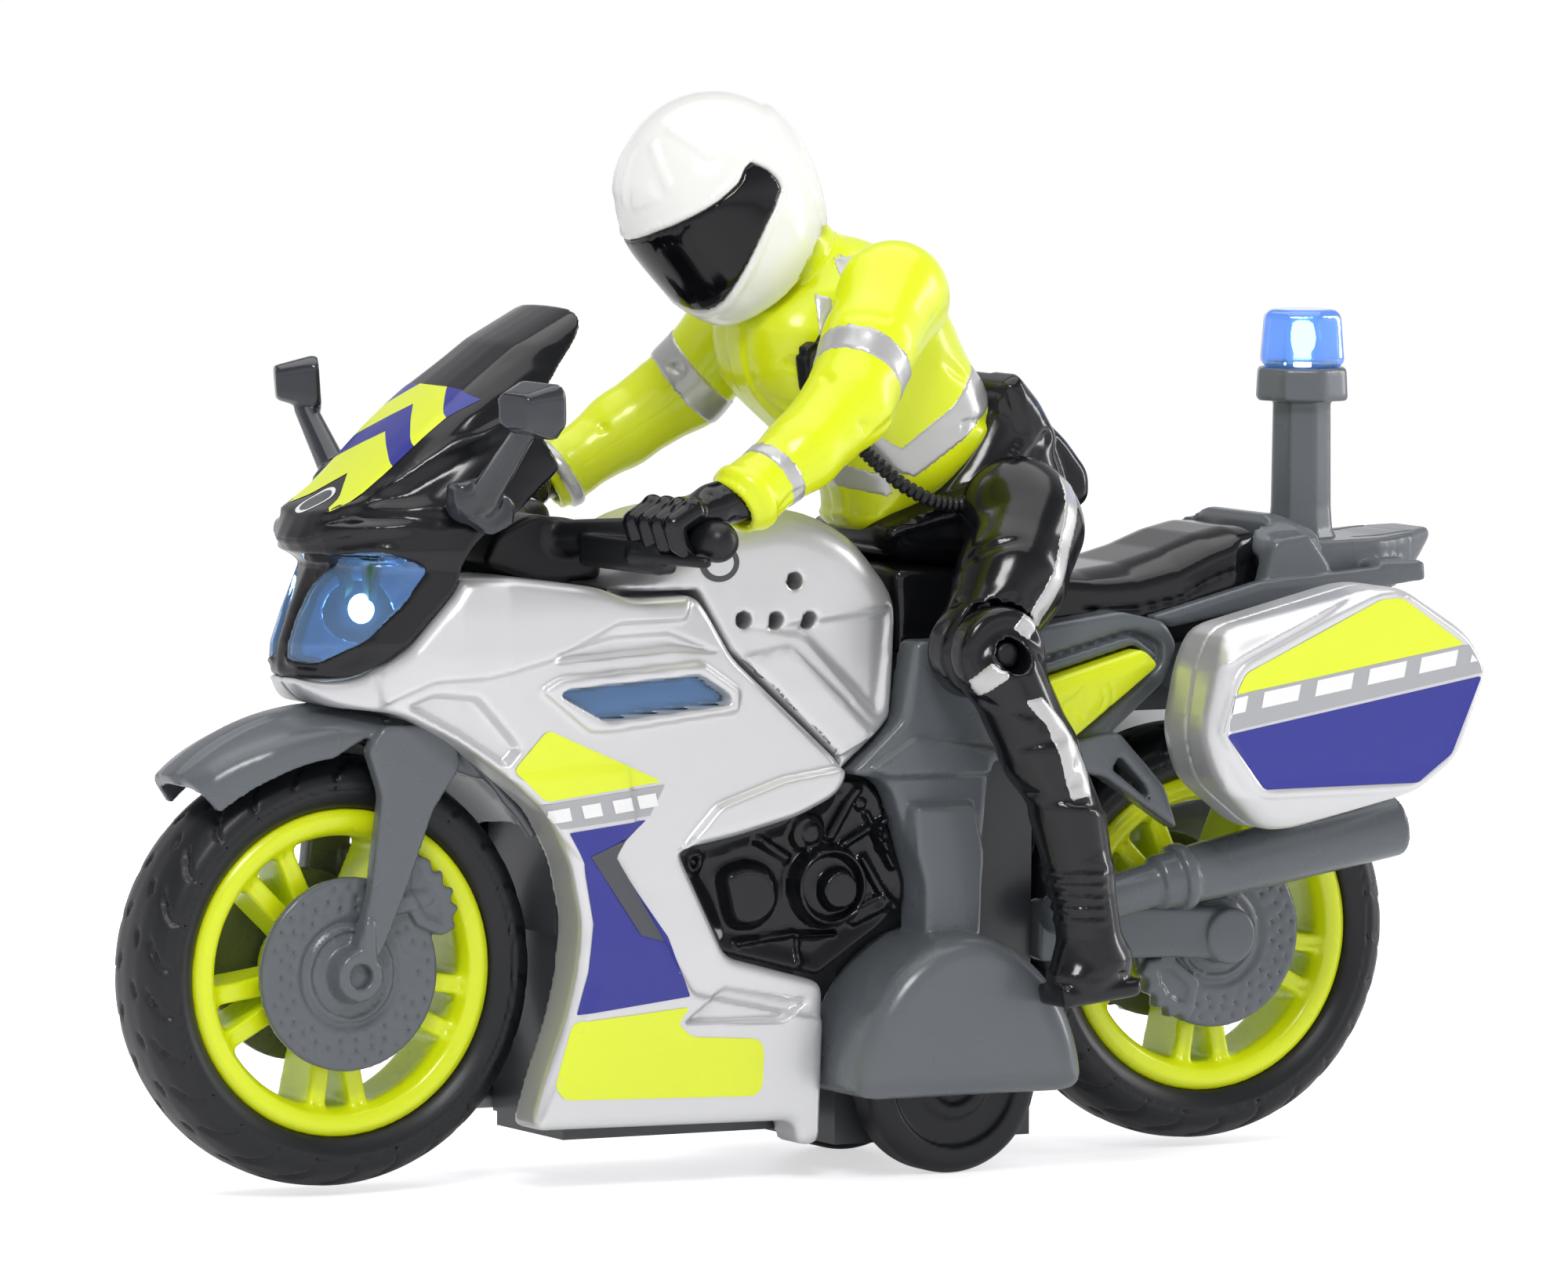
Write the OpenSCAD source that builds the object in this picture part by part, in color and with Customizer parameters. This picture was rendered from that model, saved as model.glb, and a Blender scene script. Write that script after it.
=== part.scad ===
// Friction-drive motorcycle toy with a seated, poseable rider.
// Millimetres. +Z up, floor at z = 0, front of the bike toward -X,
// rider's left side toward -Y, wheel plane y = 0.

/* [Wheels] */
// front axle position along the bike
front_x = -63; // [-70:0.5:-58]
// rear axle position along the bike
rear_x = 58; // [50:0.5:64]
// height of both big-wheel axles
axle_z = 27.2; // [26.6:0.1:29]
// outside radius of the big tyres
tyre_r = 26.4; // [24:0.1:26.5]
// half width of the big tyres
tyre_hw = 7; // [5:0.1:7.2]
// radius where rim and tyre meet
rim_r = 20; // [17:0.1:21]
// radius of the moulded brake-disc covers
disc_r = 11.8; // [9:0.1:13]
// axle radius of the big wheels
axle_r = 1.5; // [1:0.05:2]

/* [Drive] */
// drive-wheel position along the bike
drive_x = 15.7; // [14:0.1:16]
// drive-wheel radius, also the height of its axle
drive_r = 11.8; // [10:0.1:11.9]
// outer face of the drive wheels
drive_y = 16.9; // [14:0.1:18]
// drive axle radius
drive_axle_r = 1.2; // [1:0.05:1.4]
// radial play of every running fit
play = 0.07; // [0.03:0.01:0.1]

/* [Bodywork] */
// outer face of the side fairing
fair_y = 17; // [16:0.1:17.5]
// wall of the moulded shells
wall = 1.6; // [1.2:0.1:2]
// outer face of the drive-wheel guards
guard_y = 26; // [22:0.1:26]
// outer face of the side cases
case_y = 34; // [30:0.5:36]
// bar-end half width of the handlebar
grip_y = 31; // [28:0.5:32]
// half span between the mirror head centres
mirror_y = 31.3; // [28:0.1:32]

/* [Rider] */
// shoulder pivot
shoulder = [8.5, 108];
// hip pivot
hip = [26, 80.5];
// knee pivot
knee = [15.5, 65];
// helmet centre
head = [-9.7, 120];
// turn of the helmet to the rider's left
head_turn = 25; // [-30:1:30]

/* [Hidden] */
$fn = 48;
sil = [0.80, 0.80, 0.80]; lime = [0.91, 0.95, 0.25]; grey = [0.42, 0.45, 0.46];
blk = [0.11, 0.11, 0.13]; blue = [0.55, 0.75, 0.95]; steel = [0.7, 0.7, 0.72]; green = [0.1, 0.4, 0.2];

// ---- helpers -------------------------------------------------------------
// side profile in the X-Z plane, solid between y = y0 and y = y1 (y0 < y1)
module yslab(pts, y0, y1) translate([0, y1, 0]) rotate([90, 0, 0]) linear_extrude(y1 - y0) polygon(pts);
// plan profile in the X-Y plane
module zslab(pts, z0, z1) translate([0, 0, z0]) linear_extrude(z1 - z0) polygon(pts);
// front profile in the Y-Z plane
module xslab(pts, x0, x1) translate([x0, 0, 0]) rotate([90, 0, 90]) linear_extrude(x1 - x0) polygon(pts);
module ycyl(x, z, r, y0, y1) translate([x, y1, z]) rotate([90, 0, 0]) cylinder(r = r, h = y1 - y0);
module inset(pts, d) offset(delta = -d) polygon(pts);
module yslab_in(pts, d, y0, y1) translate([0, y1, 0]) rotate([90, 0, 0]) linear_extrude(y1 - y0) inset(pts, d);
module rightside() mirror([0, 1, 0]) children();
module rod(a, b, r) { v = b - a; l = norm(v);
  translate(a) rotate([0, acos(v[2] / l), atan2(v[1], v[0])]) cylinder(r = r, h = l); }
function symy(p) = concat(p, [for (i = [len(p) - 1:-1:0]) [p[i][0], -p[i][1]]]);

// ---- profiles ------------------------------------------------------------
p_shell = [[-51.6,74.4],[-33.7,73.7],[-29.8,72.1],[-20.1,72.5],[-18.4,70],[-15.6,65],[-0.6,51.6],
  [0.1,49.7],[-1.6,47.3],[-6.8,45],[-15.4,42.9],[-22.8,41.6],[-16,28.1],[-2.4,24.4],[-2.4,4.4],
  [-5.6,4.4],[-6,7.5],[-42,7.8],[-40.4,14],[-37.6,21],[-36.4,26.5],[-35.8,33],[-37.4,40.5],
  [-40.8,46.6],[-46,51.4],[-50,56],[-58,59.4],[-58,66.6],[-54.9,70.6],[-52.4,73.4]];
p_lens = [[-39.9,60.9],[-38.6,61.8],[-20.2,63],[-16,60.3],[-16.2,58.9],[-33.3,57.4]];
p_engine = [[-22,41],[-15.5,42.3],[-7,44.3],[-2.1,46.6],[-0.2,48.8],[4.8,48.4],[6.4,46.6],
  [10,36],[9.9,33.8],[6.4,30.6],[-1.8,25.2],[-15.6,28.8]];
p_tank = [[-28.6,73],[-19.6,73],[-15.1,65.5],[-0.3,52.1],[0.4,50.3],[7.8,56.6],[9.5,71.3],
  [3.4,79],[-6,82.8],[-18,81.3],[-26,77]];
p_tank_cav = [[-26.6,60],[-26.6,74.6],[-17.5,79.6],[-6.3,81],[2.4,77.6],[7.9,70.7],[6,40]];
p_pillar = [[10.4,30.2],[10.4,36],[7,47.2],[5.2,49.2],[0.9,49.9],[8.2,56.4],[9.9,66],[16,66],
  [20,52],[19.5,40],[18.5,30.2]];
p_side = [[16,66],[39,68.8],[45.2,67.4],[47,64.5],[45.4,60],[32.5,49.5],[20,52]];
p_button = [[23.2,59.8],[40.6,64.4],[43,62.2],[30.2,53]];
p_wing = [[28,50],[36,47.5],[46.5,41.5],[43.5,48.5],[36,53.5]];
p_guard = [[-2,10.5],[-2,20],[1.5,26.4],[7,29.8],[22,29.8],[27.5,27.5],[29.5,22],[29.5,10.5]];
p_cowl = [[-69.2,64.4],[-67,63.2],[-63.3,63.6],[-59,66.6],[-54.6,71.8],[-52.2,74.8],[-50.8,79],[-45,82.6],
  [-38.7,89],[-39.4,91.4],[-49.6,91.6],[-54,89.6],[-58,86.8],[-62.4,83.2],[-66,80.2],[-68,78],[-69.6,70]];
p_cowl_plan = symy([[-72,1.5],[-68,6.5],[-60,12.5],[-52,15.6],[-33,16]]);
p_cowl_plan_in = symy([[-70.4,1],[-66.8,5.2],[-59.2,10.8],[-51.6,14],[-30,14.4]]);
p_head = [[-70,65.8],[-63,65.4],[-59.3,68],[-56.8,72.1],[-55.2,76.4],[-55.3,78.5],[-60.4,78.1],[-64.1,76.2],[-66,73.5],[-70,72]];
p_screen = [[-64.8,81.4],[-62.4,83.4],[-58.2,86.9],[-54,91],[-49,95.2],[-40.4,101.2],[-33,105.2],[-32.6,106.8],
  [-33.5,107],[-40,103.3],[-48.8,97.2],[-54.2,93.1],[-59.5,87.6],[-62.6,84.7],[-65.2,82.2]];
p_pannier = [[64,72.4],[69.6,72],[78.9,66],[82.2,61.9],[78.5,51],[72.5,46.4],[55,42],[50.8,42.4],
  [43.3,48.3],[41.3,54.6],[42.8,63.5],[45,68],[50,69.4]];
p_seat = [[10.4,64.3],[61,64.3],[63,72.5],[62.5,76.4],[58,78],[52,77],[46,74.4],[40,73.2],[30,73.4],[20,74.4],[13,75],[10.4,73]];
p_torso = [[12,79.5],[6,84.5],[-1,92],[-6,99],[-7,105],[-2.6,108.6],[5,114],[12,114.8],[18,110.5],
  [21.5,104],[26.5,97.5],[23.5,94.5]];
p_pelvis = [[12.8,78.9],[24.2,94],[27,96.6],[33,91],[35.5,85],[34,78],[31,75.3],[13,75.3]];
bosses = [[-46,68],[-30,17],[-26,53]];

// ---- bodywork ------------------------------------------------------------
p_nose = [[-70,0.05],[-69,3.6],[-66.4,6.8],[-61,11.6],[-57.4,13.6],[-52,15.6],[-47,17.2],[20,17.2],[20,0.05]];
module nose(d) rightside() zslab([for (p = p_nose) [p[0] + d, p[1] <= 0.05 ? 0.05 : p[1] - d]], 0, 90);
module shell_body() difference() {
  union() {
    intersection() {
      union() {
        yslab(p_shell, -15.2, -9.6);
        translate([-28, -15.2, 42]) rotate([90, 0, 0]) linear_extrude(fair_y - 15.2, scale = 0.965)
          translate([28, -42]) polygon(p_shell);
      }
      nose(0);
    }
    intersection() {
      yslab([[-69.6,63.6],[-67,62.8],[-63.2,63.1],[-58.7,66],[-58,60.2],[-63,60],[-66.4,60.4]], -15, -0.05);
      difference() { nose(0); translate([wall + 4, 0, 0]) nose(wall); }
    }
  }
  difference() {
    intersection() { yslab_in(p_shell, wall, -15.4, -9); nose(wall); }
    for (b = bosses) ycyl(b[0], b[1], 2.5, -16, -9);
    yslab_in(p_lens, -1.2, -16, -12.5);
  }
  yslab(p_lens, -18, -9);
}
module shell_left() color(sil) difference() {
  shell_body();
  for (b = bosses) ycyl(b[0], b[1], 1.05, -14.5, -9);
}
module shell_right() color(sil) rightside() difference() {
  shell_body();
  for (b = bosses) { ycyl(b[0], b[1], 1.3, -17, -9); ycyl(b[0], b[1], 2.3, -19, -15.6); }
}
module tank_cover() color(sil) difference() {
  intersection() {
    yslab(p_tank, -15, 15);
    xslab([[-15,40],[-15,70],[-12.6,77.5],[-8,82],[8,82],[12.6,77.5],[15,70],[15,40]], -40, 20);
    xslab([[-15,40],[-15,70],[-11.5,80],[-8,84],[8,84],[11.5,80],[15,70],[15,40]], -40, 20);
  }
  intersection() {
    yslab(p_tank_cav, -13.4, 13.4);
    xslab([[-13.4,30],[-13.4,69.5],[-10.8,76.6],[-7,80.4],[7,80.4],[10.8,76.6],[13.4,69.5],[13.4,30]], -40, 20);
  }
  for (h = [[-13.4,69],[-8.9,68.8],[-4.2,68.7],[-6.4,73.6]]) ycyl(h[0], h[1], 1.1, -16, -12);
}
module cowl_solid(a, b) intersection() { yslab(a, -20, 20); zslab(b, 50, 100); }
module head_region(g) intersection() {
  difference() { zslab(p_cowl_plan, 60, 90); zslab(symy([[-70.9,1.1],[-67.1,5.6],[-59.5,11.3],[-51.8,14.4],[-33,14.8]]), 50, 99); }
  translate([0, 20, 0]) rotate([90, 0, 0]) linear_extrude(40) offset(delta = g) polygon(p_head);
  union() { translate([-80, -20, 50]) cube([40, 19.2, 50]); translate([-80, 0.8, 50]) cube([40, 19.2, 50]); }
}
module front_cowl() color(sil) difference() {
  cowl_solid(p_cowl, p_cowl_plan);
  cowl_solid([[-67.6,66],[-63.8,65.4],[-60,68.2],[-55.8,73],[-53.6,76],[-52,80.2],[-44,86],[-30,84],[-30,89.8],[-49.2,90],
    [-53.4,88],[-57.2,85.4],[-61.6,81.7],[-64.8,79],[-66.4,77.4],[-68,70]], p_cowl_plan_in);
  head_region(0.1);
}
module headlights() color(blue) head_region(0);
module windscreen() color(sil) intersection() {
  yslab(p_screen, -20, 20);
  xslab([[-5,80],[-11,85],[-12.6,92],[-11.6,97],[-9.4,102.6],[-6,108],[6,108],[9.4,102.6],[11.6,97],[12.6,92],[11,85],[5,80]], -80, -20);
}
module lens_one() color(blue) union() {
  yslab_in(p_lens, 0.1, -16.6, -14.2);
}
module side_lens_left() lens_one();
module side_lens_right() rightside() lens_one();
module engine_body() color(blk) {
  yslab(p_engine, -14.2, -9.3);
  ycyl(-11, 35.5, 5.6, -15.6, -14);
  difference() { ycyl(-1.6, 36, 4.6, -16.6, -14); ycyl(-1.6, 36, 3.4, -17, -15.2); }
  ycyl(-1.6, 36, 2.3, -16.3, -14);
  for (p = [[-17,39.6],[5,44.6],[7.6,40.2]]) ycyl(p[0], p[1], 1.1, -15, -14);
}
module engine_left() engine_body();
module engine_right() rightside() engine_body();
module frame_body() color(grey) {
  difference() {
    union() {
      difference() {
        union() {
          yslab(p_guard, -24.2, -10);
          translate([14, -24.2, 10.5]) rotate([90, 0, 0]) linear_extrude(guard_y - 24.2, scale = 0.9)
            translate([-14, -10.5]) polygon(p_guard);
        }
        yslab([[-0.5,9],[-0.5,19.6],[2.6,25.2],[7.4,28.2],[21.7,28.2],[26.4,26.4],[28,21.7],[28,9]], -24.4, -9);
      }
      yslab([[10.4,28.2],[10.4,36],[7,47.2],[5.2,49.2],[0.9,49.9],[8.2,56.4],[9.9,66],[16,66],[20,52],
        [19.5,40],[18.5,28.2]], -18, -12);
      yslab(p_side, -18, -12);
      yslab(p_wing, -18, -14);
    }
    translate([0, -9, 0]) rotate([90, 0, 0]) linear_extrude(12) offset(delta = 0.35) polygon(p_button);
  }
}
module frame_left() frame_body();
module frame_right() rightside() frame_body();
module fork_side() {
  yslab([[-64.8,27.2],[-62.8,33],[-61.2,40],[-59.5,50],[-57,58],[-49,58],[-53.5,47],[-56.5,39],
    [-59.3,31],[-60.5,27.2]], -10.6, -8.2);
  ycyl(front_x, axle_z, disc_r, -7.85, -6.35);
  ycyl(front_x, axle_z, 3.9, -10.9, -6.35);
  yslab([[-54.6,41.4],[-51.4,39.4],[-49.2,34],[-50.4,31],[-55,33.4],[-58,38]], -9, -6.9);
}
module front_fork() color(grey) difference() {
  union() {
    fork_side(); rightside() fork_side();
    intersection() {
      difference() {
        ycyl(front_x, axle_z, 31.6, -9.4, 9.4);
        ycyl(front_x, axle_z, 29.8, -8, 8);
        ycyl(front_x, axle_z, 27.4, -10, 10);
      }
      yslab([[-63,27.2],[-20,63.4],[-40,75],[-80,75],[-95,69.4]], -12, 12);
    }
    yslab([[-57.5,56.4],[-55,59.6],[-46,60.4],[-36,60.4],[-36,56.6],[-42,54.9],[-49,56]], -8.2, 8.2);
  }
  ycyl(front_x, axle_z, axle_r, -9.7, 9.7);
}
module swing_body() color(grey) difference() {
  union() {
    yslab([[30.5,25],[30.5,33],[50,31.5],[60,31.2],[62.5,27.2],[60,23.6],[50,24]], -11, -7.6);
    ycyl(rear_x, axle_z, disc_r, -7.85, -6.35);
    ycyl(rear_x, axle_z, 3.9, -11.6, -6.35);
    yslab([[47,22],[50,18],[54,16.4],[54.6,20],[51,23.4]], -9, -6.9);
  }
  ycyl(rear_x, axle_z, axle_r, -9.7, 0);
}
module swingarm_left() swing_body();
module swingarm_right() rightside() swing_body();
module exhaust_body() color(grey) difference() {
  union() {
    rod([43, -16, 34.6], [78.5, -16, 40.8], 3.9);
    rod([31.5, -14.4, 31.4], [43.6, -16, 34.7], 2.6);
  }
  rod([70, -16, 39.32], [79, -16, 40.89], 2.9);
}
module exhaust_left() exhaust_body();
module exhaust_right() rightside() exhaust_body();
module pannier_body() color(sil) difference() {
  union() {
    yslab(p_pannier, -30, -20.3);
    translate([60, -30, 58]) rotate([90, 0, 0]) linear_extrude(case_y - 30, scale = 0.84)
      translate([-60, -58]) polygon(p_pannier);
  }
  yslab_in(p_pannier, 2, -30.4, -21.9);
  ycyl(60, 59.2, 1.1, -23, -20);
}
module pannier_left() pannier_body();
module pannier_right() rightside() pannier_body();
module tail_unit() color(grey) difference() {
  union() {
    yslab([[12,55.7],[40,55.7],[46,55.7],[84,55.7],[87,59],[86,64],[12,64]], -8.4, 8.4);
    translate([52, -20.3, 56.6]) cube([16, 40.6, 5.2]);
  }
  yslab([[14,54],[14,62.4],[50,62.4],[50,54]], -6.8, 6.8);
}
module tail_plate() color(grey) difference() {
  union() {
    yslab([[63.4,64],[82,64],[89.4,73.8],[88.6,75.8],[80,75.2],[69,75.2],[63.4,73.6]], -8.8, 8.8);
    for (s = [-1, 1]) translate([0, s * 13.4, 0]) yslab([[44,67.6],[47,66],[60,68.6],[85,71.6],[84,74.4],[60,72]], -1.4, 1.4);
    translate([77, -14.6, 71]) cube([7, 29.2, 3]);
  }
  yslab([[65,63],[80.5,63],[85.6,71.5],[65,71.5]], -7.2, 7.2);
}
module seat() color(blk) difference() {
  intersection() {
    yslab(p_seat, -11.4, 11.4);
    xslab([[-11.4,60],[-11.4,73],[-9.6,77.5],[-6,80.5],[6,80.5],[9.6,77.5],[11.4,73],[11.4,60]], 0, 70);
  }
  yslab([[12.4,60],[12.4,72.2],[30,71.4],[46,72.4],[52,75],[58,76],[60.4,72],[59.4,60]], -9.4, 9.4);
}
module beacon_mast() color(grey) translate([74.1, 0, 0]) {
  translate([0, 0, 75.2]) cylinder(r = 3.6, h = 18.3);
  translate([0, 0, 93.4]) cylinder(r1 = 4.4, r2 = 6, h = 1.4);
  translate([0, 0, 94.8]) cylinder(r = 6, h = 2.8);
}
module beacon_lens() color(blue) translate([74.1, 0, 0]) rotate_extrude()
  polygon([[0,97.6],[5.5,97.6],[5.5,101.6],[5.2,103.2],[4.2,104.4],[2.4,105],[0,105]]);
module handlebar() color(blk) {
  translate([-32.8, -4, 64]) cube([3.4, 8, 15]);
  for (s = [-1, 1]) {
    rod([-31, s * 3, 78], [-25.8, s * 16.4, 80.4], 1.6);
    rod([-26, s * 15.6, 80.4], [-21.3, s * grip_y, 79.8], 2.3);
  }
}
module mirror_body() color(grey) {
  hull() { translate([-52, -17.4, 83.5]) rotate([0, 90, 0]) cylinder(r = 1.2, h = 7, $fn = 24);
    translate([-50.6, -26, 92]) rotate([0, 90, 0]) cylinder(r = 1.4, h = 2.6, $fn = 24); }
  xslab([[-26,92.4],[-28.4,90.6],[-33.6,91.2],[-36,95.2],[-35,99.2],[-31,100.6],[-27,98.6]], -51.4, -47.8);
}
module mirror_left() mirror_body();
module mirror_right() rightside() mirror_body();

// ---- core ----------------------------------------------------------------
module main_frame() color(grey) difference() {
  yslab([[-36,31],[30.5,31],[30.5,55.5],[5.5,55.5],[5.5,64],[-36,64]], -9, 9);
  yslab([[-34.4,32.6],[28.9,32.6],[28.9,53.9],[3.9,53.9],[3.9,62.4],[-34.4,62.4]], -7.4, 9.4);
}
module battery_box() color(grey) difference() {
  yslab([[-35,7.6],[-3,7.6],[-3,31],[-35,31]], -9.2, 9.2);
  yslab([[-33,7],[-5,7],[-5,24],[-33,24]], -8.4, 8.4);
}
module battery_door() color(grey) translate([-34.6, -8.9, 5.8]) cube([31.2, 17.8, 1.8]);
module battery_cells() color(steel) for (i = [-1:1]) ycyl(-19, 16, 5.8, i * 5.5 - 2.7, i * 5.5 + 2.7);
module circuit_board() color(green) difference() {
  union() { translate([-32, -0.8, 35]) cube([34, 1.6, 25]); translate([-20, 0.8, 42]) cube([8, 2, 8]);
    translate([-6, 0.8, 50]) cube([4, 3, 4]); }
  for (p = [[-30,37],[0,37],[-30,58]]) ycyl(p[0], p[1], 0.9, -2, 2);
}
module speaker() color(blk) translate([-8.5, -7.6, 69.6]) rotate([90, 0, 0]) { cylinder(r = 3.4, h = 2); translate([0,0,2]) cylinder(r = 5.3, h = 1.6); }
module led_board() color(green) union() {
  translate([-61.4, -9.1, 70.6]) cube([1.2, 18.2, 9]);
  for (s = [-1, 1]) translate([-61.3, s * 4.6, 74]) rotate([0, -90, 0]) cylinder(r = 1.9, h = 1.9);
}
module sound_button() color(lime) union() {
  yslab(p_button, -19.4, -14.2);
  ycyl(33, 60, 1.4, -14.2, -12.6);
}
module button_spring() color(steel) difference() { ycyl(33, 60, 2.2, -11.9, -8.6); ycyl(33, 60, 1.7, -13, -8); }
module panel_right() color(lime) rightside() { yslab(p_button, -19.4, -14.2); yslab_in(p_button, -1.2, -11.95, -11.5); ycyl(33, 60, 1.4, -14.3, -11.7); }
module screws() color(steel) for (b = bosses) { ycyl(b[0], b[1], 1.15, 9.8, 15.7); ycyl(b[0], b[1], 2.1, 15.6, 16.4); }

// ---- running gear --------------------------------------------------------
module gearbox_half() difference() {
  translate([3, -9, 3.4]) cube([27.5, 8.95, 27.6]);
  translate([4.5, -7.5, 4.9]) cube([24.5, 9, 24.6]);
  ycyl(drive_x, drive_r, drive_axle_r + play, -10, 0);
  ycyl(21.5, 19.3, 1 + play, -8.4, 0);
  ycyl(12.5, 23, 1 + play, -8.4, 0);
}
module gearbox_left() color(grey) gearbox_half();
module gearbox_right() color(grey) rightside() gearbox_half();
module wheel_axle(x) color(steel) ycyl(x, axle_z, axle_r, -9.6, 9.6);
module front_axle() wheel_axle(front_x);
module rear_axle() wheel_axle(rear_x);
module rim(x) color(lime) translate([x, 0, axle_z]) difference() {
  union() {
    rotate([90, 0, 0]) rotate_extrude($fn = 96) polygon([[17.4,-5.85],[19,-5.85],[rim_r,-5.4],[rim_r,5.4],[19,5.85],[17.4,5.85],[16.6,4],[16.6,-4]]);
    ycyl(0, 0, 5, -5.9, 5.9);
    for (i = [0:4]) for (s = [-1, 1]) rotate([0, i * 72 + 18, 0]) rotate([0, s * 10, 0])
      translate([3.6, -4.6, -1.1]) cube([13.6, 9.2, 2.2]);
  }
  ycyl(0, 0, axle_r + play, -7, 7);
}
module front_rim() rim(front_x);
module rear_rim() rim(rear_x);
module tyre(x) color(blk) translate([x, 0, axle_z]) rotate([90, 0, 0]) rotate_extrude($fn = 96)
  polygon([[rim_r,-5.4],[21,-6.2],[22.4,-tyre_hw],[24.2,-6.4],[25.4,-4.8],[26.1,-2.6],[tyre_r,0],[26.1,2.6],
    [25.4,4.8],[24.2,6.4],[22.4,tyre_hw],[21,6.2],[rim_r,5.4]]);
module front_tyre() tyre(front_x);
module rear_tyre() tyre(rear_x);
module toothed(x, z, r, n, y0, y1) union() {
  ycyl(x, z, r - 0.5, y0, y1);
  for (i = [0:n - 1]) translate([x, (y0 + y1) / 2, z]) rotate([0, i * 360 / n, 0])
    translate([r / 2, 0, 0]) cube([r, y1 - y0, 0.55], center = true);
}
module drive_axle() color(steel) union() {
  ycyl(drive_x, drive_r, drive_axle_r, -16.4, 16.4);
  ycyl(drive_x, drive_r, 6.3, 1, 3);
}
module drive_wheel() color(blk) difference() {
  translate([drive_x, 0, drive_r]) rotate([90, 0, 0]) rotate_extrude()
    polygon([[drive_axle_r,10.6],[8,10.6],[drive_r - 0.5,10.6],[drive_r,11.1],[drive_r,drive_y - 0.9],[drive_r - 0.9,drive_y],
      [8.6,drive_y],[8.6,drive_y - 0.8],[3.4,drive_y - 0.8],[3.4,drive_y - 0.2],[drive_axle_r,drive_y - 0.2]]);
}
module drive_wheel_left() drive_wheel();
module drive_wheel_right() rightside() drive_wheel();
module idler_gear() color(steel) union() {
  ycyl(21.5, 19.3, 1, -8.3, 8.3); ycyl(21.5, 19.3, 7, -2, 0); ycyl(21.5, 19.3, 2.85, 0, 3.2);
}
module flywheel() color(steel) union() {
  ycyl(12.5, 23, 1, -8.3, 8.3); ycyl(12.5, 23, 2.4, -2.2, 0.2); ycyl(12.5, 23, 6, -6.4, -3);
}

// ---- rider ---------------------------------------------------------------
module rider_torso() color(lime) union() {
  intersection() {
    yslab(p_torso, -11, 11);
    xslab([[-9,78],[-10,90],[-11,100],[-11,111],[-8,115],[8,115],[11,111],[11,100],[10,90],[9,78]], -20, 40);
  }
  rod([2, 0, 108], [-6.2, 0, 116.4], 3);
  for (s = [-1, 1]) ycyl(shoulder[0], shoulder[1], 2, min(s * 10.5, s * 13.4), max(s * 10.5, s * 13.4));
}
module rider_pelvis() color(blk) union() {
  yslab(p_pelvis, -10.4, 10.4);
  for (s = [-1, 1]) ycyl(hip[0], hip[1], 2, min(s * 10, s * 13), max(s * 10, s * 13));
}
module helmet_shape() difference() {
  union() {
    sphere(r = 12.6, $fn = 48);
    translate([-0.6, 0, -10.4]) cylinder(r1 = 10.2, r2 = 12, h = 9);
  }
  translate([0, 0, -20]) cylinder(r = 9, h = 17.5);
  translate([-20, -14, -5]) cube([9.4, 28, 9.6]);
}
module rider_helmet() color([0.94,0.94,0.92]) translate([head[0], 0, head[1]]) rotate([0, -44.3, 0]) rotate([0, 0, head_turn]) {
  helmet_shape();
  translate([0, 0, -4.6]) difference() { cylinder(r = 9.2, h = 7); translate([0, 0, -1]) cylinder(r = 3 + play, h = 6); }
}
module arm_left() color(lime) difference() {
  union() {
    hull() { translate([shoulder[0], -11.4, shoulder[1]]) rotate([90, 0, 0]) cylinder(r = 5.4, h = 6, $fn = 32);
      translate([0.5, -20.5, 95.5]) sphere(r = 4.4, $fn = 32); }
    hull() { translate([0.5, -20.5, 95.5]) sphere(r = 4.4, $fn = 32); translate([-12, -24, 88]) sphere(r = 3.6, $fn = 32); }
    hull() { translate([-13.5, -24.3, 87]) sphere(r = 3, $fn = 32); translate([-22.6, -24.6, 83.6]) sphere(r = 3, $fn = 32); }
    hull() { translate([-23, -26.8, 84]) sphere(r = 2.2, $fn = 24); translate([-23, -21, 84]) sphere(r = 2.2, $fn = 24);
      translate([-27.6, -26.8, 79.5]) sphere(r = 1.6, $fn = 24); translate([-27.6, -21, 79.5]) sphere(r = 1.6, $fn = 24); }
  }
  ycyl(shoulder[0], shoulder[1], 2 + play, -13.8, -10);
  hull() { rod([-25.57, -17, 80.35], [-21, -32, 79.76], 2.65); rod([-17.6, -17, 71.4], [-13, -32, 70.8], 3.2); }
}
module rider_arm_left() arm_left();
module rider_arm_right() rightside() arm_left();
module thigh_left() color(blk) difference() {
  hull() {
    translate([hip[0], -11.7, hip[1]]) rotate([90, 0, 0]) cylinder(r = 4.4, h = 6, $fn = 32);
    translate([25.2, -18.6, 79]) sphere(r = 6.3, $fn = 32);
    translate([knee[0], -22.2, knee[1]]) rotate([90, 0, 0]) cylinder(r = 4.4, h = 1.9, $fn = 32);
  }
  ycyl(hip[0], hip[1], 2 + play, -13.4, -10);
}
module rider_thigh_left() union() { thigh_left(); color(blk) ycyl(knee[0], knee[1], 1.6, -27.6, -23.5); }
module rider_thigh_right() rightside() rider_thigh_left();
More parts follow.
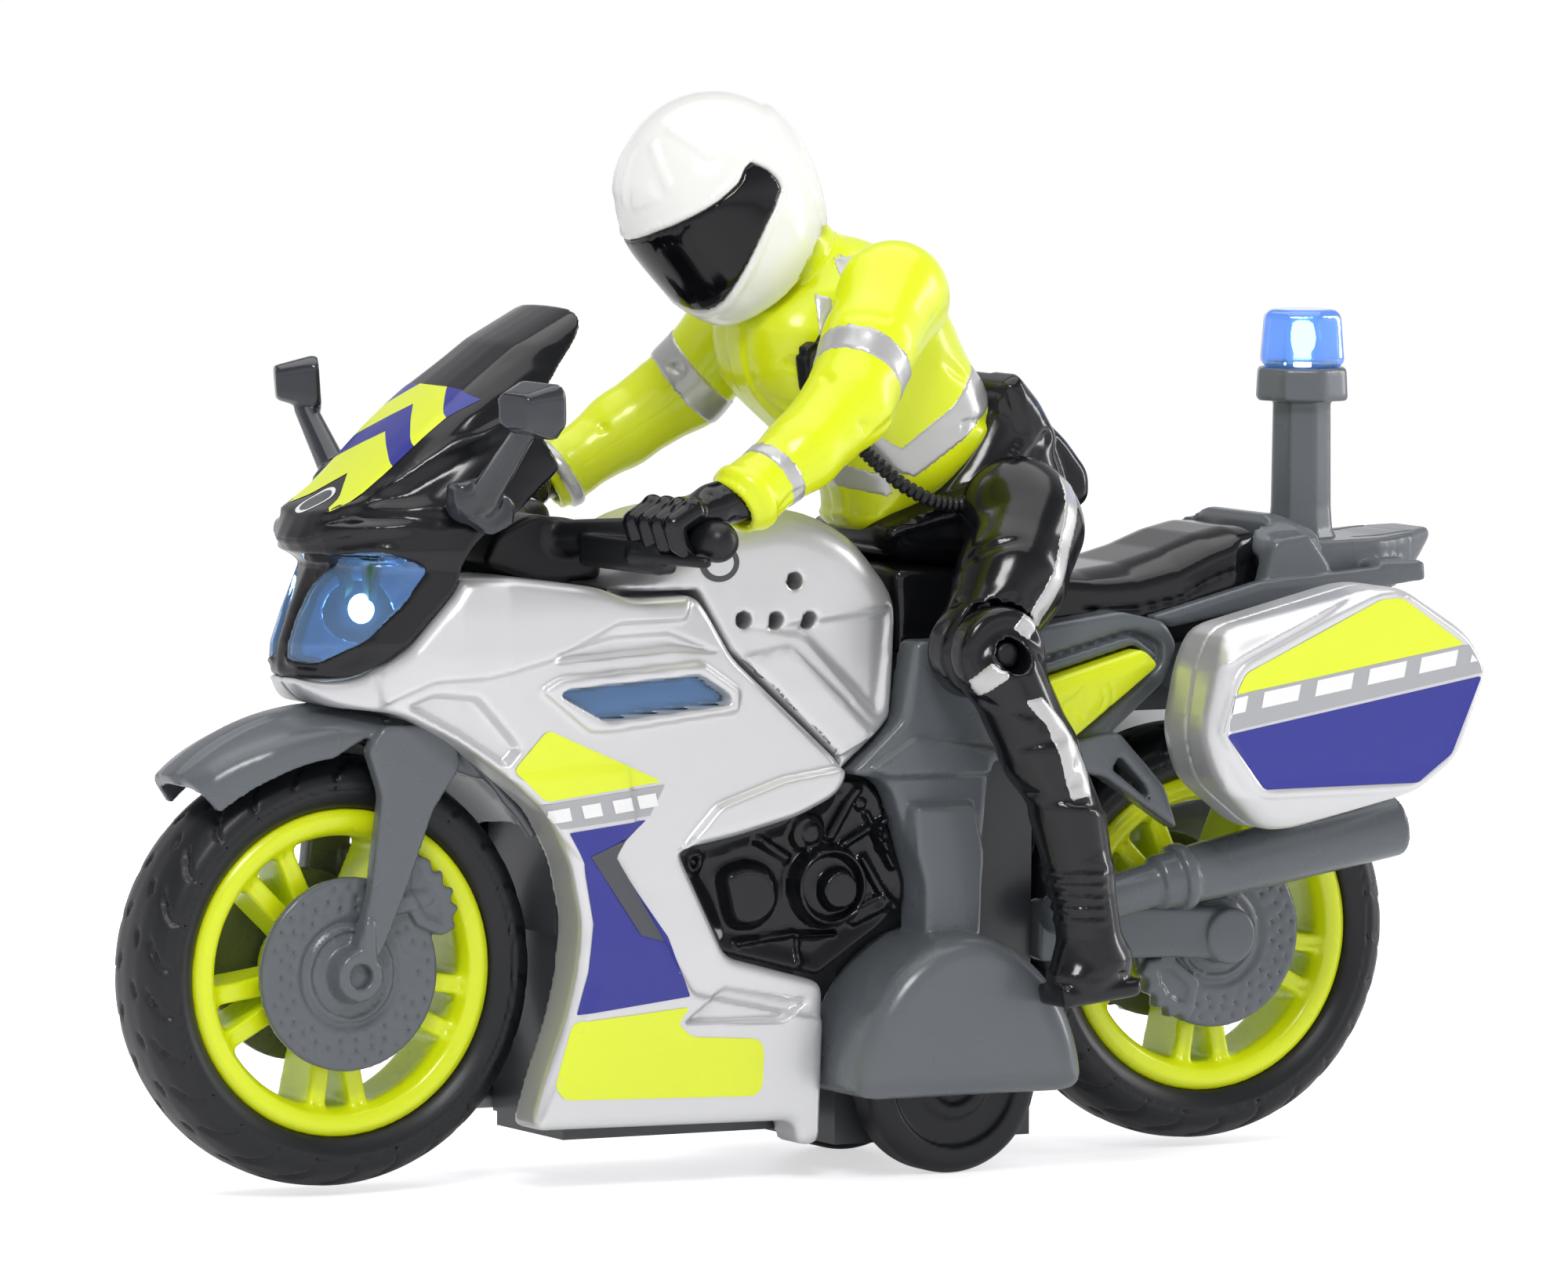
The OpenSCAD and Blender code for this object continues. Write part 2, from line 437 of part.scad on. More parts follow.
module rider_shin_left() color(blk) difference() {
  union() {
    hull() { translate([knee[0], -24.6, knee[1]]) rotate([90, 0, 0]) cylinder(r = 4.8, h = 3.3, $fn = 32);
      translate([23.5, -29, 47]) sphere(r = 3.6, $fn = 32); translate([26.6, -30, 36]) sphere(r = 3, $fn = 32); }
    hull() { translate([26.6, -30, 36]) sphere(r = 3, $fn = 32); translate([27.6, -30.4, 28.4]) sphere(r = 3.6, $fn = 32);
      translate([21.6, -30.4, 27]) sphere(r = 2.8, $fn = 32); }
  }
  ycyl(knee[0], knee[1], 1.6 + play, -30, -20);
}
module rider_shin_right() rightside() rider_shin_left();

shell_left();
shell_right();
tank_cover();
front_cowl();
windscreen();
headlights();
side_lens_left();
side_lens_right();
engine_left();
engine_right();
frame_left();
frame_right();
front_fork();
swingarm_left();
swingarm_right();
exhaust_left();
exhaust_right();
pannier_left();
pannier_right();
tail_unit();
tail_plate();
seat();
beacon_mast();
beacon_lens();
handlebar();
mirror_left();
mirror_right();
main_frame();
battery_box();
battery_door();
battery_cells();
circuit_board();
speaker();
led_board();
sound_button();
button_spring();
panel_right();
screws();
gearbox_left();
gearbox_right();
front_axle();
rear_axle();
front_rim();
front_tyre();
rear_rim();
rear_tyre();
drive_axle();
drive_wheel_left();
drive_wheel_right();
idler_gear();
flywheel();
rider_torso();
rider_pelvis();
rider_helmet();
rider_arm_left();
rider_arm_right();
rider_thigh_left();
rider_thigh_right();
rider_shin_left();
rider_shin_right();
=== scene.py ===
# Toy patrol motorcycle with a seated rider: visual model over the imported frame.
# Lengths are in millimetres: x runs to the rear, y to the rider's right, z up.
import math
from functools import reduce
from types import SimpleNamespace

import bpy
import numpy as np
import openvdb as vdb
from mathutils import Matrix, Vector, geometry
from mathutils.bvhtree import BVHTree


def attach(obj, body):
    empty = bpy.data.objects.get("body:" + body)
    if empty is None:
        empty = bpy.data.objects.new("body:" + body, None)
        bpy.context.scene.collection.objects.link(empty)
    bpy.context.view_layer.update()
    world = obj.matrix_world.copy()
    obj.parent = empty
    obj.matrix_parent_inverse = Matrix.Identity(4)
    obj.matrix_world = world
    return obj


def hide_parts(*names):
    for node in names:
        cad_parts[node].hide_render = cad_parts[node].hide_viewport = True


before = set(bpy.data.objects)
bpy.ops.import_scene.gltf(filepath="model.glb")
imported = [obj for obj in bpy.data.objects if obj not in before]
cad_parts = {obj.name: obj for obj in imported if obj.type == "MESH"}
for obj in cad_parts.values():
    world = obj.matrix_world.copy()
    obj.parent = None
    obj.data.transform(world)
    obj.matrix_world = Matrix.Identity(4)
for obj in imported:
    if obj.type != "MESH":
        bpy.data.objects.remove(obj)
S = 0.001  # metres in a millimetre
FRONT_X, REAR_X, AXLE_Z = -63, 58, 27.2  # centres of the two big wheels
KNEE_X, KNEE_Z = 15.5, 65
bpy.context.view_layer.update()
COL = bpy.context.scene.collection

# ---------------------------------------------------------------- materials
def lin(r, g, b):
    """An sRGB colour, each part from 0 to 255, as linear values."""
    def part(c):
        return (c / 255 / 12.92) if c <= 10.31 else ((c / 255 + 0.055) / 1.055) ** 2.4
    return (part(r), part(g), part(b), 1.0)

def material(name, col, rough=0.35, metal=0.0, coat=0.0, grain=0.0, scale=900.0, vary=0.04,
             spec=0.5, trans=0.0, glow=0.0, rvar=0.06):
    """A plastic whose colour and gloss drift a little over the surface, with an optional fine grain."""
    m = bpy.data.materials.new(name)
    m.use_nodes = True
    N, L = m.node_tree.nodes, m.node_tree.links
    b = N["Principled BSDF"]
    for socket, value in (("Metallic", metal), ("Specular IOR Level", spec), ("Coat Weight", coat),
                          ("Coat Roughness", 0.08), ("Transmission Weight", trans)):
        b.inputs[socket].default_value = value
    tc = N.new("ShaderNodeTexCoord")

    def noise(size, detail):
        n = N.new("ShaderNodeTexNoise")
        n.inputs["Scale"].default_value = size
        n.inputs["Detail"].default_value = detail
        L.new(tc.outputs["Object"], n.inputs["Vector"])
        return n.outputs["Fac"]

    drift = noise(90, 3)
    mix = N.new("ShaderNodeMix")
    mix.data_type = "RGBA"
    mix.inputs["A"].default_value = [max(0, c * (1 - vary)) for c in col[:3]] + [1]
    mix.inputs["B"].default_value = [min(1, c * (1 + vary)) for c in col[:3]] + [1]
    L.new(drift, mix.inputs["Factor"])
    L.new(mix.outputs["Result"], b.inputs["Base Color"])
    mr = N.new("ShaderNodeMapRange")
    mr.inputs["To Min"].default_value = max(0.02, rough - rvar)
    mr.inputs["To Max"].default_value = rough + rvar
    L.new(drift, mr.inputs["Value"])
    L.new(mr.outputs["Result"], b.inputs["Roughness"])
    if grain > 0:
        bump = N.new("ShaderNodeBump")
        bump.inputs["Strength"].default_value = grain
        bump.inputs["Distance"].default_value = 0.0001
        L.new(noise(scale, 4), bump.inputs["Height"])
        L.new(bump.outputs["Normal"], b.inputs["Normal"])
    if glow > 0:
        b.inputs["Emission Color"].default_value = col
        b.inputs["Emission Strength"].default_value = glow
    return m

SILVER = material("silver_pearl", lin(221, 221, 223), 0.33, 0.6, 0.15, 0.05, 5200, 0.02)
LIME = material("lime_gloss", lin(226, 240, 20), 0.28, 0, 0.3, 0.03, 1500, 0.03)
LIMEDECAL = material("lime_print", lin(230, 243, 52), 0.30, 0, 0.2, 0.02, 2500, 0.02)
JACKET = material("jacket_lime", lin(228, 241, 22), 0.30, 0, 0.25, 0.10, 700, 0.04)
GREY = material("grey_plastic", lin(94, 99, 104), 0.27, 0, 0.15, 0.06, 1800, 0.04)
GREYD = material("grey_dark", lin(60, 64, 68), 0.35, 0, 0.1, 0.06, 1800, 0.05)
BLACK = material("gloss_black", lin(16, 17, 21), 0.17, 0, 0.12, 0.04, 900, 0.10, spec=0.4)
BLACKM = material("satin_black", lin(20, 21, 25), 0.36, 0, 0.0, 0.10, 1600, 0.10, spec=0.4)
TYRE = material("tyre_black", lin(26, 27, 31), 0.38, 0, 0.0, 0.12, 1600, 0.10, spec=0.4)
BLUE = material("blue_print", lin(44, 48, 146), 0.30, 0, 0.2, 0.02, 2500, 0.03)
BAND = material("grey_band_print", lin(176, 177, 180), 0.32, 0.2, 0.15, 0.02, 2500, 0.02)
WHITE = material("white_print", lin(243, 243, 243), 0.30, 0, 0.2, 0.02, 2500, 0.01)
DKPRINT = material("dark_print", lin(74, 76, 82), 0.32, 0, 0.2, 0.02, 2500, 0.03)
REFLEX = material("reflective_tape", lin(196, 196, 196), 0.30, 0.4, 0.2, 0.10, 2600, 0.06)
HELMET = material("helmet_white", lin(240, 240, 236), 0.20, 0, 0.5, 0.02, 900, 0.01)
VISOR = material("visor_black", lin(12, 12, 16), 0.10, 0, 0.0, 0.0, 900, 0.05, spec=0.36, rvar=0.02)
STEEL = material("steel", lin(190, 190, 192), 0.28, 1.0, 0, 0.05, 2200, 0.04)
GREEN = material("solder_green", lin(24, 92, 48), 0.4, 0, 0.2, 0.05, 1800, 0.08)
LENS = material("lens_clear_blue", lin(140, 186, 232), 0.05, 0, 0.3, 0, 900, 0.03, trans=0.8)
REFLECTOR = material("lamp_bowl", lin(205, 222, 240), 0.15, 0.8, 0.2, 0.02, 900, 0.05)
GLOW = material("lamp_lit", (0.75, 0.88, 1.0, 1), 0.3, glow=14.0)
BEACON = material("beacon_blue", lin(112, 160, 222), 0.08, 0, 0.8, 0, 900, 0.05, trans=0.7, glow=0.2)
MIRROR = material("mirror_dark", lin(44, 47, 54), 0.2, 0, 0.4, 0.05, 1200, 0.08)
MIRROR_GLASS = material("mirror_glass", lin(170, 178, 186), 0.08, 0.9, 0.3, 0.0, 900, 0.02)

# the material of each CAD node
NODE_MAT = {name: mat for mat, names in {
    SILVER: "shell_left shell_right tank_cover pannier_left pannier_right",
    LENS: "headlights side_lens_left side_lens_right",
    BEACON: "beacon_lens",
    BLACK: "front_cowl windscreen engine_left engine_right seat rider_pelvis "
           "rider_thigh_left rider_thigh_right rider_shin_left rider_shin_right",
    GREY: "front_axle frame_left frame_right front_fork swingarm_left swingarm_right exhaust_left "
          "exhaust_right tail_unit tail_plate beacon_mast mirror_left mirror_right",
    BLACKM: "handlebar speaker",
    GREYD: "main_frame battery_box battery_door gearbox_left gearbox_right",
    STEEL: "battery_cells button_spring screws rear_axle drive_axle idler_gear flywheel",
    GREEN: "circuit_board led_board",
    LIME: "sound_button panel_right front_rim rear_rim",
    TYRE: "front_tyre rear_tyre drive_wheel_left drive_wheel_right",
    JACKET: "rider_torso rider_arm_left rider_arm_right",
    HELMET: "rider_helmet"}.items() for name in names.split()}
for n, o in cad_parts.items():
    o.data.materials.clear()
    o.data.materials.append(NODE_MAT[n])

# ---------------------------------------------------------------- distance-field kit (millimetres)
class Grid:
    """Sample points from lo to hi, a distance h apart."""
    def __init__(s, lo, hi, h):
        s.h, s.lo = h, np.array(lo, np.float32)
        s.n = np.ceil((np.array(hi) - s.lo) / h).astype(int) + 1
        ax = [(s.lo[i] + h * np.arange(s.n[i])).astype(np.float32) for i in range(3)]
        s.X, s.Y, s.Z = np.meshgrid(*ax, indexing="ij", sparse=True)

def folded(g, sign):
    """The same grid with both halves folded onto one side of the middle plane."""
    return SimpleNamespace(X=g.X, Y=sign * np.abs(g.Y), Z=g.Z)

def meet(*fields):
    """What all the given shapes share."""
    return reduce(np.maximum, fields)

def join(*fields):
    """All the given shapes together."""
    return reduce(np.minimum, fields)

def rp(pts, r, k=3):
    """Rounds the corners of a closed outline: every corner becomes a short curve of reach r."""
    out, n = [], len(pts)
    for i in range(n):
        a, b, c = (np.array(pts[j % n], float) for j in (i - 1, i, i + 1))
        la, lc = np.linalg.norm(a - b), np.linalg.norm(c - b)
        p, q = b + (a - b) / la * min(r, la * 0.45), b + (c - b) / lc * min(r, lc * 0.45)
        for t in np.linspace(0, 1, k + 1):
            out.append(tuple((1 - t) ** 2 * p + 2 * t * (1 - t) * b + t * t * q))
    return out

def pdist(U, V, pts):
    """Signed distance to a closed outline in the (U, V) plane, negative inside."""
    p = np.array(pts, np.float32)
    U, V = np.broadcast_arrays(U, V)
    d = np.full(U.shape, 1e9, np.float32)
    s = np.ones(U.shape, np.float32)
    for i in range(len(p)):
        a, b = p[i], p[i - 1]
        e0, e1 = b[0] - a[0], b[1] - a[1]
        w0, w1 = U - a[0], V - a[1]
        t = np.clip((w0 * e0 + w1 * e1) / (e0 * e0 + e1 * e1), 0, 1)
        d = np.minimum(d, (w0 - e0 * t) ** 2 + (w1 - e1 * t) ** 2)
        c1, c2, c3 = V >= a[1], V < b[1], e0 * w1 > e1 * w0
        s = np.where((c1 & c2 & c3) | (~c1 & ~c2 & ~c3), -s, s)
    return s * np.sqrt(d)

def side(g, pts, r=0.0):
    """Signed distance to a side-view outline of (x, z) points, its corners rounded with reach r."""
    return pdist(g.X, g.Z, rp(pts, r) if r else pts)

def rmax(a, b, r):
    """What two shapes share, with the edge between them rounded."""
    a, b = a + r, b + r
    return np.minimum(np.maximum(a, b), 0) + np.sqrt(np.maximum(a, 0) ** 2 + np.maximum(b, 0) ** 2) - r

def smin(a, b, k):
    """Two shapes joined with a soft fillet."""
    h = np.clip(0.5 + 0.5 * (b - a) / k, 0, 1)
    return b * (1 - h) + a * h - k * h * (1 - h)

def step(d, w):
    """0 outside, rising to 1 at depth w inside an outline distance d."""
    t = np.clip(-d / w, 0, 1)
    return t * t * (3 - 2 * t)

def hyp(g, x, z):
    """Distance from the crosswise line through (x, z)."""
    return np.sqrt((g.X - x) ** 2 + (g.Z - z) ** 2)

def line_dist(U, V, a, b):
    """Distance to the line from a to b in the (U, V) plane."""
    v = np.array(b) - np.array(a)
    t = np.clip(((U - a[0]) * v[0] + (V - a[1]) * v[1]) / (v @ v), 0, 1)
    return np.sqrt((U - a[0] - v[0] * t) ** 2 + (V - a[1] - v[1] * t) ** 2)

def capsule(g, a, b, ra, rb=None):
    """A round bar from a to b, tapering from radius ra to rb."""
    rb = ra if rb is None else rb
    a, b = np.array(a, np.float32), np.array(b, np.float32)
    v = b - a
    L2 = float(v @ v)
    px, py, pz = g.X - a[0], g.Y - a[1], g.Z - a[2]
    t = np.clip((px * v[0] + py * v[1] + pz * v[2]) / L2, 0, 1)
    return np.sqrt((px - v[0] * t) ** 2 + (py - v[1] * t) ** 2 + (pz - v[2] * t) ** 2) - (ra
        + (rb - ra) * t)

def ellipsoid(g, c, r):
    px, py, pz = g.X - c[0], g.Y - c[1], g.Z - c[2]
    k0 = np.sqrt((px / r[0]) ** 2 + (py / r[1]) ** 2 + (pz / r[2]) ** 2)
    k1 = np.sqrt((px / r[0] ** 2) ** 2 + (py / r[1] ** 2) ** 2 + (pz / r[2] ** 2) ** 2)
    return k0 * (k0 - 1) / np.maximum(k1, 1e-6)

def local(g, origin, xd, zd):
    """Local coordinates about origin, x along xd and z near zd."""
    x = np.array(xd, float)
    x /= np.linalg.norm(x)
    y = np.cross(zd, x)
    y /= np.linalg.norm(y)
    z = np.cross(x, y)
    px, py, pz = g.X - origin[0], g.Y - origin[1], g.Z - origin[2]
    return [(v[0] * px + v[1] * py + v[2] * pz).astype(np.float32) for v in (x, y, z)]

def boxd(x, y, z, hx, hy, hz, r):
    """A box of half sizes hx, hy and hz with rounded edges."""
    qx, qy, qz = np.abs(x) - hx + r, np.abs(y) - hy + r, np.abs(z) - hz + r
    return (np.sqrt(np.maximum(qx, 0) ** 2 + np.maximum(qy, 0) ** 2 + np.maximum(qz, 0) ** 2)
            + np.minimum(np.maximum(qx, np.maximum(qy, qz)), 0) - r)

def creases(g, D, folds):
    """Presses soft folds into a shape: each runs from a to b with its own radius and depth."""
    for a, b, r, depth in folds:
        D = D + depth * step(capsule(g, a, b, r), r)
    return D

def tape(D, area, height=0.12):
    """A thin skin on a shape's surface, kept inside an area."""
    return meet(D - height, -(D + 0.9), area)

# ---------------------------------------------------------------- meshes
def put(name, me, mat, body, nodes=()):
    """Makes an object of a mesh that rides a body and stands in for CAD nodes."""
    o = bpy.data.objects.new(name, me)
    COL.objects.link(o)
    me.materials.append(mat)
    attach(o, body)
    if nodes:
        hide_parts(*nodes)
    return o

def mirror_y(me):
    c = np.empty(len(me.vertices) * 3, np.float32)
    me.vertices.foreach_get("co", c)
    c[1::3] *= -1
    me.vertices.foreach_set("co", c)
    me.flip_normals()
    me.update()

def put_mirrored(name, me, mat, body, nodes=()):
    """Puts the mirror image of a mesh on the right-hand side."""
    twin = me.copy()
    mirror_y(twin)
    twin.materials.clear()
    return put(name, twin, mat, body, nodes)

def field_at(D, limit, p):
    """Field values between the samples, at grid positions p."""
    i = np.clip(np.floor(p).astype(int), 0, limit)
    f = p - i
    r = 0
    for dx in (0, 1):
        for dy in (0, 1):
            for dz in (0, 1):
                w = np.abs(1 - dx - f[:, 0]) * np.abs(1 - dy - f[:, 1]) * np.abs(1 - dz - f[:, 2])
                r = r + w * D[i[:, 0] + dx, i[:, 1] + dy, i[:, 2] + dz]
    return r

def field_mesh(name, D, g):
    """Meshes the zero level of a field."""
    D = np.ascontiguousarray(np.broadcast_to(D, tuple(g.n)), np.float32)
    fg = vdb.FloatGrid(float(3 * g.h))
    fg.copyFromArray(np.clip(D, -3 * g.h, 3 * g.h))
    pts, quads = fg.convertToQuads(isovalue=0.0)
    # pull each vertex onto the zero level along the field's gradient
    ijk = ((pts.astype(np.float64) * g.h + g.lo) - g.lo) / g.h
    for _ in range(2):
        gr = np.stack([field_at(D, g.n - 2, ijk + e)
            - field_at(D, g.n - 2, ijk - e) for e in np.eye(3) * 0.5], -1)
        nn = np.maximum((gr ** 2).sum(-1), 1e-6)
        ijk = ijk - np.clip(field_at(D, g.n - 2, ijk) / nn, -0.5, 0.5)[:, None] * gr * 0.7
    co = (ijk * g.h + g.lo) * S
    me = bpy.data.meshes.new(name)
    me.vertices.add(len(co))
    me.vertices.foreach_set("co", co.astype(np.float32).ravel())
    me.loops.add(quads.size)
    me.polygons.add(len(quads))
    me.polygons.foreach_set("loop_start", np.arange(0, quads.size, 4, dtype=np.int32))
    me.loops.foreach_set("vertex_index", quads[:, ::-1].astype(np.int32).ravel())
    me.update(calc_edges=True)
    me.validate()
    me.polygons.foreach_set("use_smooth", np.ones(len(quads), bool))
    # the loops are the quads reversed, so they face inwards if the quads enclose a positive volume
    v = co[quads]
    vol = sum(np.einsum("ij,ij->i", v[:, 0], np.cross(v[:, i], v[:, i + 1])).sum() for i in (1, 2))
    if vol > 0:
        me.flip_normals()
    return me

def to_right(text):
    return text.replace("left", "right")

def solid(name, D, g, mat, body="bike", nodes=(), both=False):
    """Meshes a field; with both=True it also makes the mirrored right-hand piece."""
    me = field_mesh(name, D, g)
    made = [put(name, me, mat, body, nodes)]
    if both:
        made.append(put_mirrored(to_right(name), me, mat, to_right(body), [to_right(n) for n in nodes]))
    return made

def bvh(objs):
    """A search tree over the faces of some objects."""
    v, f = [], []
    for o in objs:
        k = len(v)
        v += [tuple(x.co) for x in o.data.vertices]
        f += [[k + i for i in p.vertices] for p in o.data.polygons]
    return BVHTree.FromPolygons(v, f)

def oval(u, v, ru, rv, n):
    """An oval outline of n points about (u, v)."""
    return [(u + ru * math.cos(a), v + rv * math.sin(a)) for a in np.linspace(0, 2 * math.pi, n + 1)[:-1]]

def patch(name, pts, tree, mat, d=(0, 1, 0), lift=0.06, pitch=0.9, both=False, ax=(0, 2), far=60):
    """A printed patch: an outline filled with triangles, dropped along d onto the skin in tree."""
    verts = []
    for i in range(len(pts)):
        a, b = np.array(pts[i], float), np.array(pts[(i + 1) % len(pts)], float)
        m = max(1, int(np.linalg.norm(b - a) / pitch))
        verts += [tuple(a + (b - a) * t / m) for t in range(m)]
    edges = [(i, (i + 1) % len(verts)) for i in range(len(verts))]
    P = np.array(verts)
    a0, a1 = P.min(0), P.max(0)
    rows = [np.arange(a0[i] + pitch / 2, a1[i], pitch) for i in (0, 1)]
    U, V = [q.ravel() for q in np.meshgrid(*rows)]
    keep = pdist(U, V, pts) < -pitch * 0.45
    verts += [(float(u), float(v)) for u, v in zip(U[keep], V[keep])]
    r = geometry.delaunay_2d_cdt([Vector(v) for v in verts], edges, [], 1, 1e-5)
    D = Vector(d).normalized()
    co = []
    for v in r[0]:
        p = Vector((0.0, 0.0, 0.0))
        p[ax[0]], p[ax[1]] = v[0] * S, v[1] * S
        hit = tree.ray_cast(p - D * far * S, D)
        if hit[0] is None:
            near = tree.find_nearest(p - D * 0.016)
            co.append(near[0] - D * lift * S if near[0] else p)
        else:
            n = hit[1] if hit[1].dot(D) < 0 else -hit[1]
            co.append(hit[0] + (n * 0.5 - D * 0.5).normalized() * lift * S)
    me = bpy.data.meshes.new(name)
    me.from_pydata([tuple(c) for c in co], [], [list(f) for f in r[2]])
    me.validate()
    me.polygons.foreach_set("use_smooth", [True] * len(me.polygons))
    up = sum((p.normal * p.area for p in me.polygons), Vector())
    if up.dot(D) > 0:
        me.flip_normals()
    put(name, me, mat, "bike")
    if both:
        put_mirrored(name + "_r", me, mat, "bike")

def tube(name, pts, radii, mat):
    """A round bar along points, with a radius for each."""
    cu = bpy.data.curves.new(name, "CURVE")
    cu.dimensions = "3D"
    cu.bevel_depth = S
    cu.bevel_resolution = 3
    cu.use_fill_caps = True
    sp = cu.splines.new("POLY")
    sp.points.add(len(pts) - 1)
    for point, p, r in zip(sp.points, pts, radii):
        point.co = (p[0] * S, p[1] * S, p[2] * S, 1)
        point.radius = r
    tmp = bpy.data.objects.new(name + "_c", cu)
    COL.objects.link(tmp)
    dg = bpy.context.evaluated_depsgraph_get()
    me = bpy.data.meshes.new_from_object(tmp.evaluated_get(dg))
    bpy.data.objects.remove(tmp)
    me.materials.clear()
    me.polygons.foreach_set("use_smooth", [True] * len(me.polygons))
    return put(name, me, mat, "bike")

# ---------------------------------------------------------------- shared outlines (x, z)
P_SHELL = [(-69.4, 63.3), (-67.6, 61), (-65.3, 59.5), (-62.1, 59.3), (-58.6, 58.9), (-52.1, 55.6),
    (-46.2, 51.2), (-40.8, 46.6), (-37.4, 40.5), (-35.8, 33), (-36.4, 26.5), (-37.8, 20.8), (-40.3, 14),
    (-42, 7.9), (-6, 7.5), (-5.6, 4.4), (-2.4, 4.4), (-2.4, 24.4), (-16, 28.1), (-22.8, 41.6),
    (-15.4, 42.9), (-6.8, 45), (-1.6, 47.3), (0.1, 49.7), (-0.6, 51.6), (-15.6, 65), (-18.4, 70),
    (-20.1, 72.5), (-29.8, 72.3), (-33.7, 73.8), (-45, 75.3), (-51.4, 75.2), (-52.3, 73.6),
    (-54.9, 70.6), (-58.7, 66), (-63.2, 62.9), (-66.8, 62.6)]
P_LENS = [(-39.9, 60.9), (-38.6, 61.8), (-20.2, 63), (-16, 60.3), (-16.2, 58.9), (-33.3, 57.4)]
P_BEZEL = [(-42.4, 61.6), (-39.6, 63.2), (-20, 64.5), (-14.6, 60.9), (-14.8, 58),
    (-33.2, 56), (-35.6, 56.2)]
P_GUARD = [(-2, 10.5), (-1.7, 16), (0.2, 21.5), (3.6, 26.2), (8, 29.4), (12.4, 30.6), (16.4, 30.2),
    (20.4, 28.2), (24.2, 25), (27.2, 20.8), (29.1, 15.2), (29.5, 10.5)]
NOSE_Y = [0, 3.6, 6.8, 11.6, 13.6, 15.6, 17.0, 17.3]
NOSE_X = [-69.9, -69.2, -66.4, -61, -57.4, -52, -46, -30]

def nose_y(X):
    return np.interp(X, NOSE_X, NOSE_Y).astype(np.float32)

# ---------------------------------------------------------------- side fairings
g = Grid((-71.5, -18.8, 3), (1.6, 0.6, 77), 0.38)
A = np.abs(g.Y)
P2 = side(g, P_SHELL, 1.6)
raised = [([(-61, 59.4), (-55.3, 62.4), (-48.9, 62.8), (-40.2, 64.9), (-31.5, 69), (-22, 69.2),
    (-20, 74), (-34, 77), (-54, 78), (-62, 64)], 1.2, 0.8), (P_BEZEL, 0.9, 0.5),
    ([(-23.6, 41), (-17.9, 47), (-8.8, 50), (1.2, 51.4), (1.2, 48), (-6, 44.4), (-15.4, 42)], 1.2, 0.6),
    ([(-46.8, 51.4), (-30, 52.2), (-28.6, 45.2), (-31.6, 41.2), (-20.6, 24), (-2, 20), (-2, 3), (-44, 3),
    (-34, 26), (-34, 38)], 0.5, 0.5)]
sunk = [([(-58.6, 59.9), (-54.9, 61.6), (-49.6, 61.2), (-44, 54.6), (-46.2, 52), (-52, 56)], 1.7, 0.9),
        ([(-41, 66.1), (-31.8, 68.2), (-24, 68.4), (-16, 65.2), (-24, 65.6), (-40, 64.6)], 1.0, 0.9),
        ([(-22.4, 20.2), (-16.4, 24.6), (-4.2, 22.3), (-8.2, 19.8)], 1.2, 0.5)]
base = (join(nose_y(g.X), 17.0) - 0.05 * np.clip(30 - g.Z, 0, 30) - 0.12 * np.clip(g.Z - 66, 0, 12)
    - 0.03 * np.clip(g.Z - 70, 0, 9) ** 2 - 0.4)
rel = 0
for pts, hgt, w in raised:
    rel = rel + hgt * step(side(g, pts, 0.8), w)
for pts, hgt, w in sunk:
    rel = rel - hgt * step(side(g, pts, 0.8), w)
lens2 = side(g, P_LENS, 0.9)
YO = base + rel - 3.2 * step(lens2, 0.8)
outer = rmax(P2, (A - YO) * 0.95, 1.3)
inner = meet(P2 + 1.6, A - YO + 1.6)
ymin = np.where(g.X < -56.5, 0.05, np.where((g.Z > 71.2) & (g.X > -51) & (g.X < -33.4), 4.6,
    9.62)).astype(np.float32)
D = meet(outer, -inner, ymin - A, g.Y)
SHELLS = solid("shell_left_skin", D, g, SILVER, "bike", ("shell_left",), both=True)
T = bvh(SHELLS)
# printed areas of the fairing
lime1 = [(-41, 56.8), (-45.6, 52), (-41.4, 48.1), (-25.3, 50)]
blue1 = [(-38.2, 44.2), (-27.5, 45.4), (-32.4, 41.3), (-24.4, 31), (-21.4, 23.6), (-36.6, 21.9),
    (-35.2, 27), (-34.6, 33), (-36, 40.4)]
lime2 = [(-37, 21), (-21.3, 22.3), (-23, 20.3), (-21, 18.6), (-12, 18), (-11, 17), (-11, 12),
    (-12, 10.9), (-38.2, 11.6), (-39.4, 13)]
dark1 = [(-30.4, 43.2), (-35.3, 41.2), (-28.4, 31.4), (-25.2, 30.5), (-31.8, 40.9)]
band1 = [(-41.9, 47.7), (-25, 49.6), (-27, 45.9), (-39.2, 44.7)]
for name, pts, mat, lift, pitch in (
        ("lime_upper", rp(lime1, 0.8), LIMEDECAL, 0.12, 0.6), ("blue", rp(blue1, 0.25), BLUE, 0.12, 0.6),
        ("lime_lower", rp(lime2, 0.8), LIMEDECAL, 0.12, 0.6), ("dark_arrow", dark1, DKPRINT, 0.22, 0.3),
        ("band", band1, BAND, 0.12, 0.6)):
    patch("print_" + name, pts, T, mat, both=True, lift=lift, pitch=pitch)
for i, x in enumerate((-40.4, -36.2, -32, -28.4)):
    z = 45.35 + 0.11 * (x + 41)
    patch("print_dash_%d" % i, [(x, z), (x + 2.5, z + 0.3), (x + 2.1, z + 1.9), (x - 0.5, z + 1.6)], T,
        WHITE, both=True, lift=0.2, pitch=0.4)
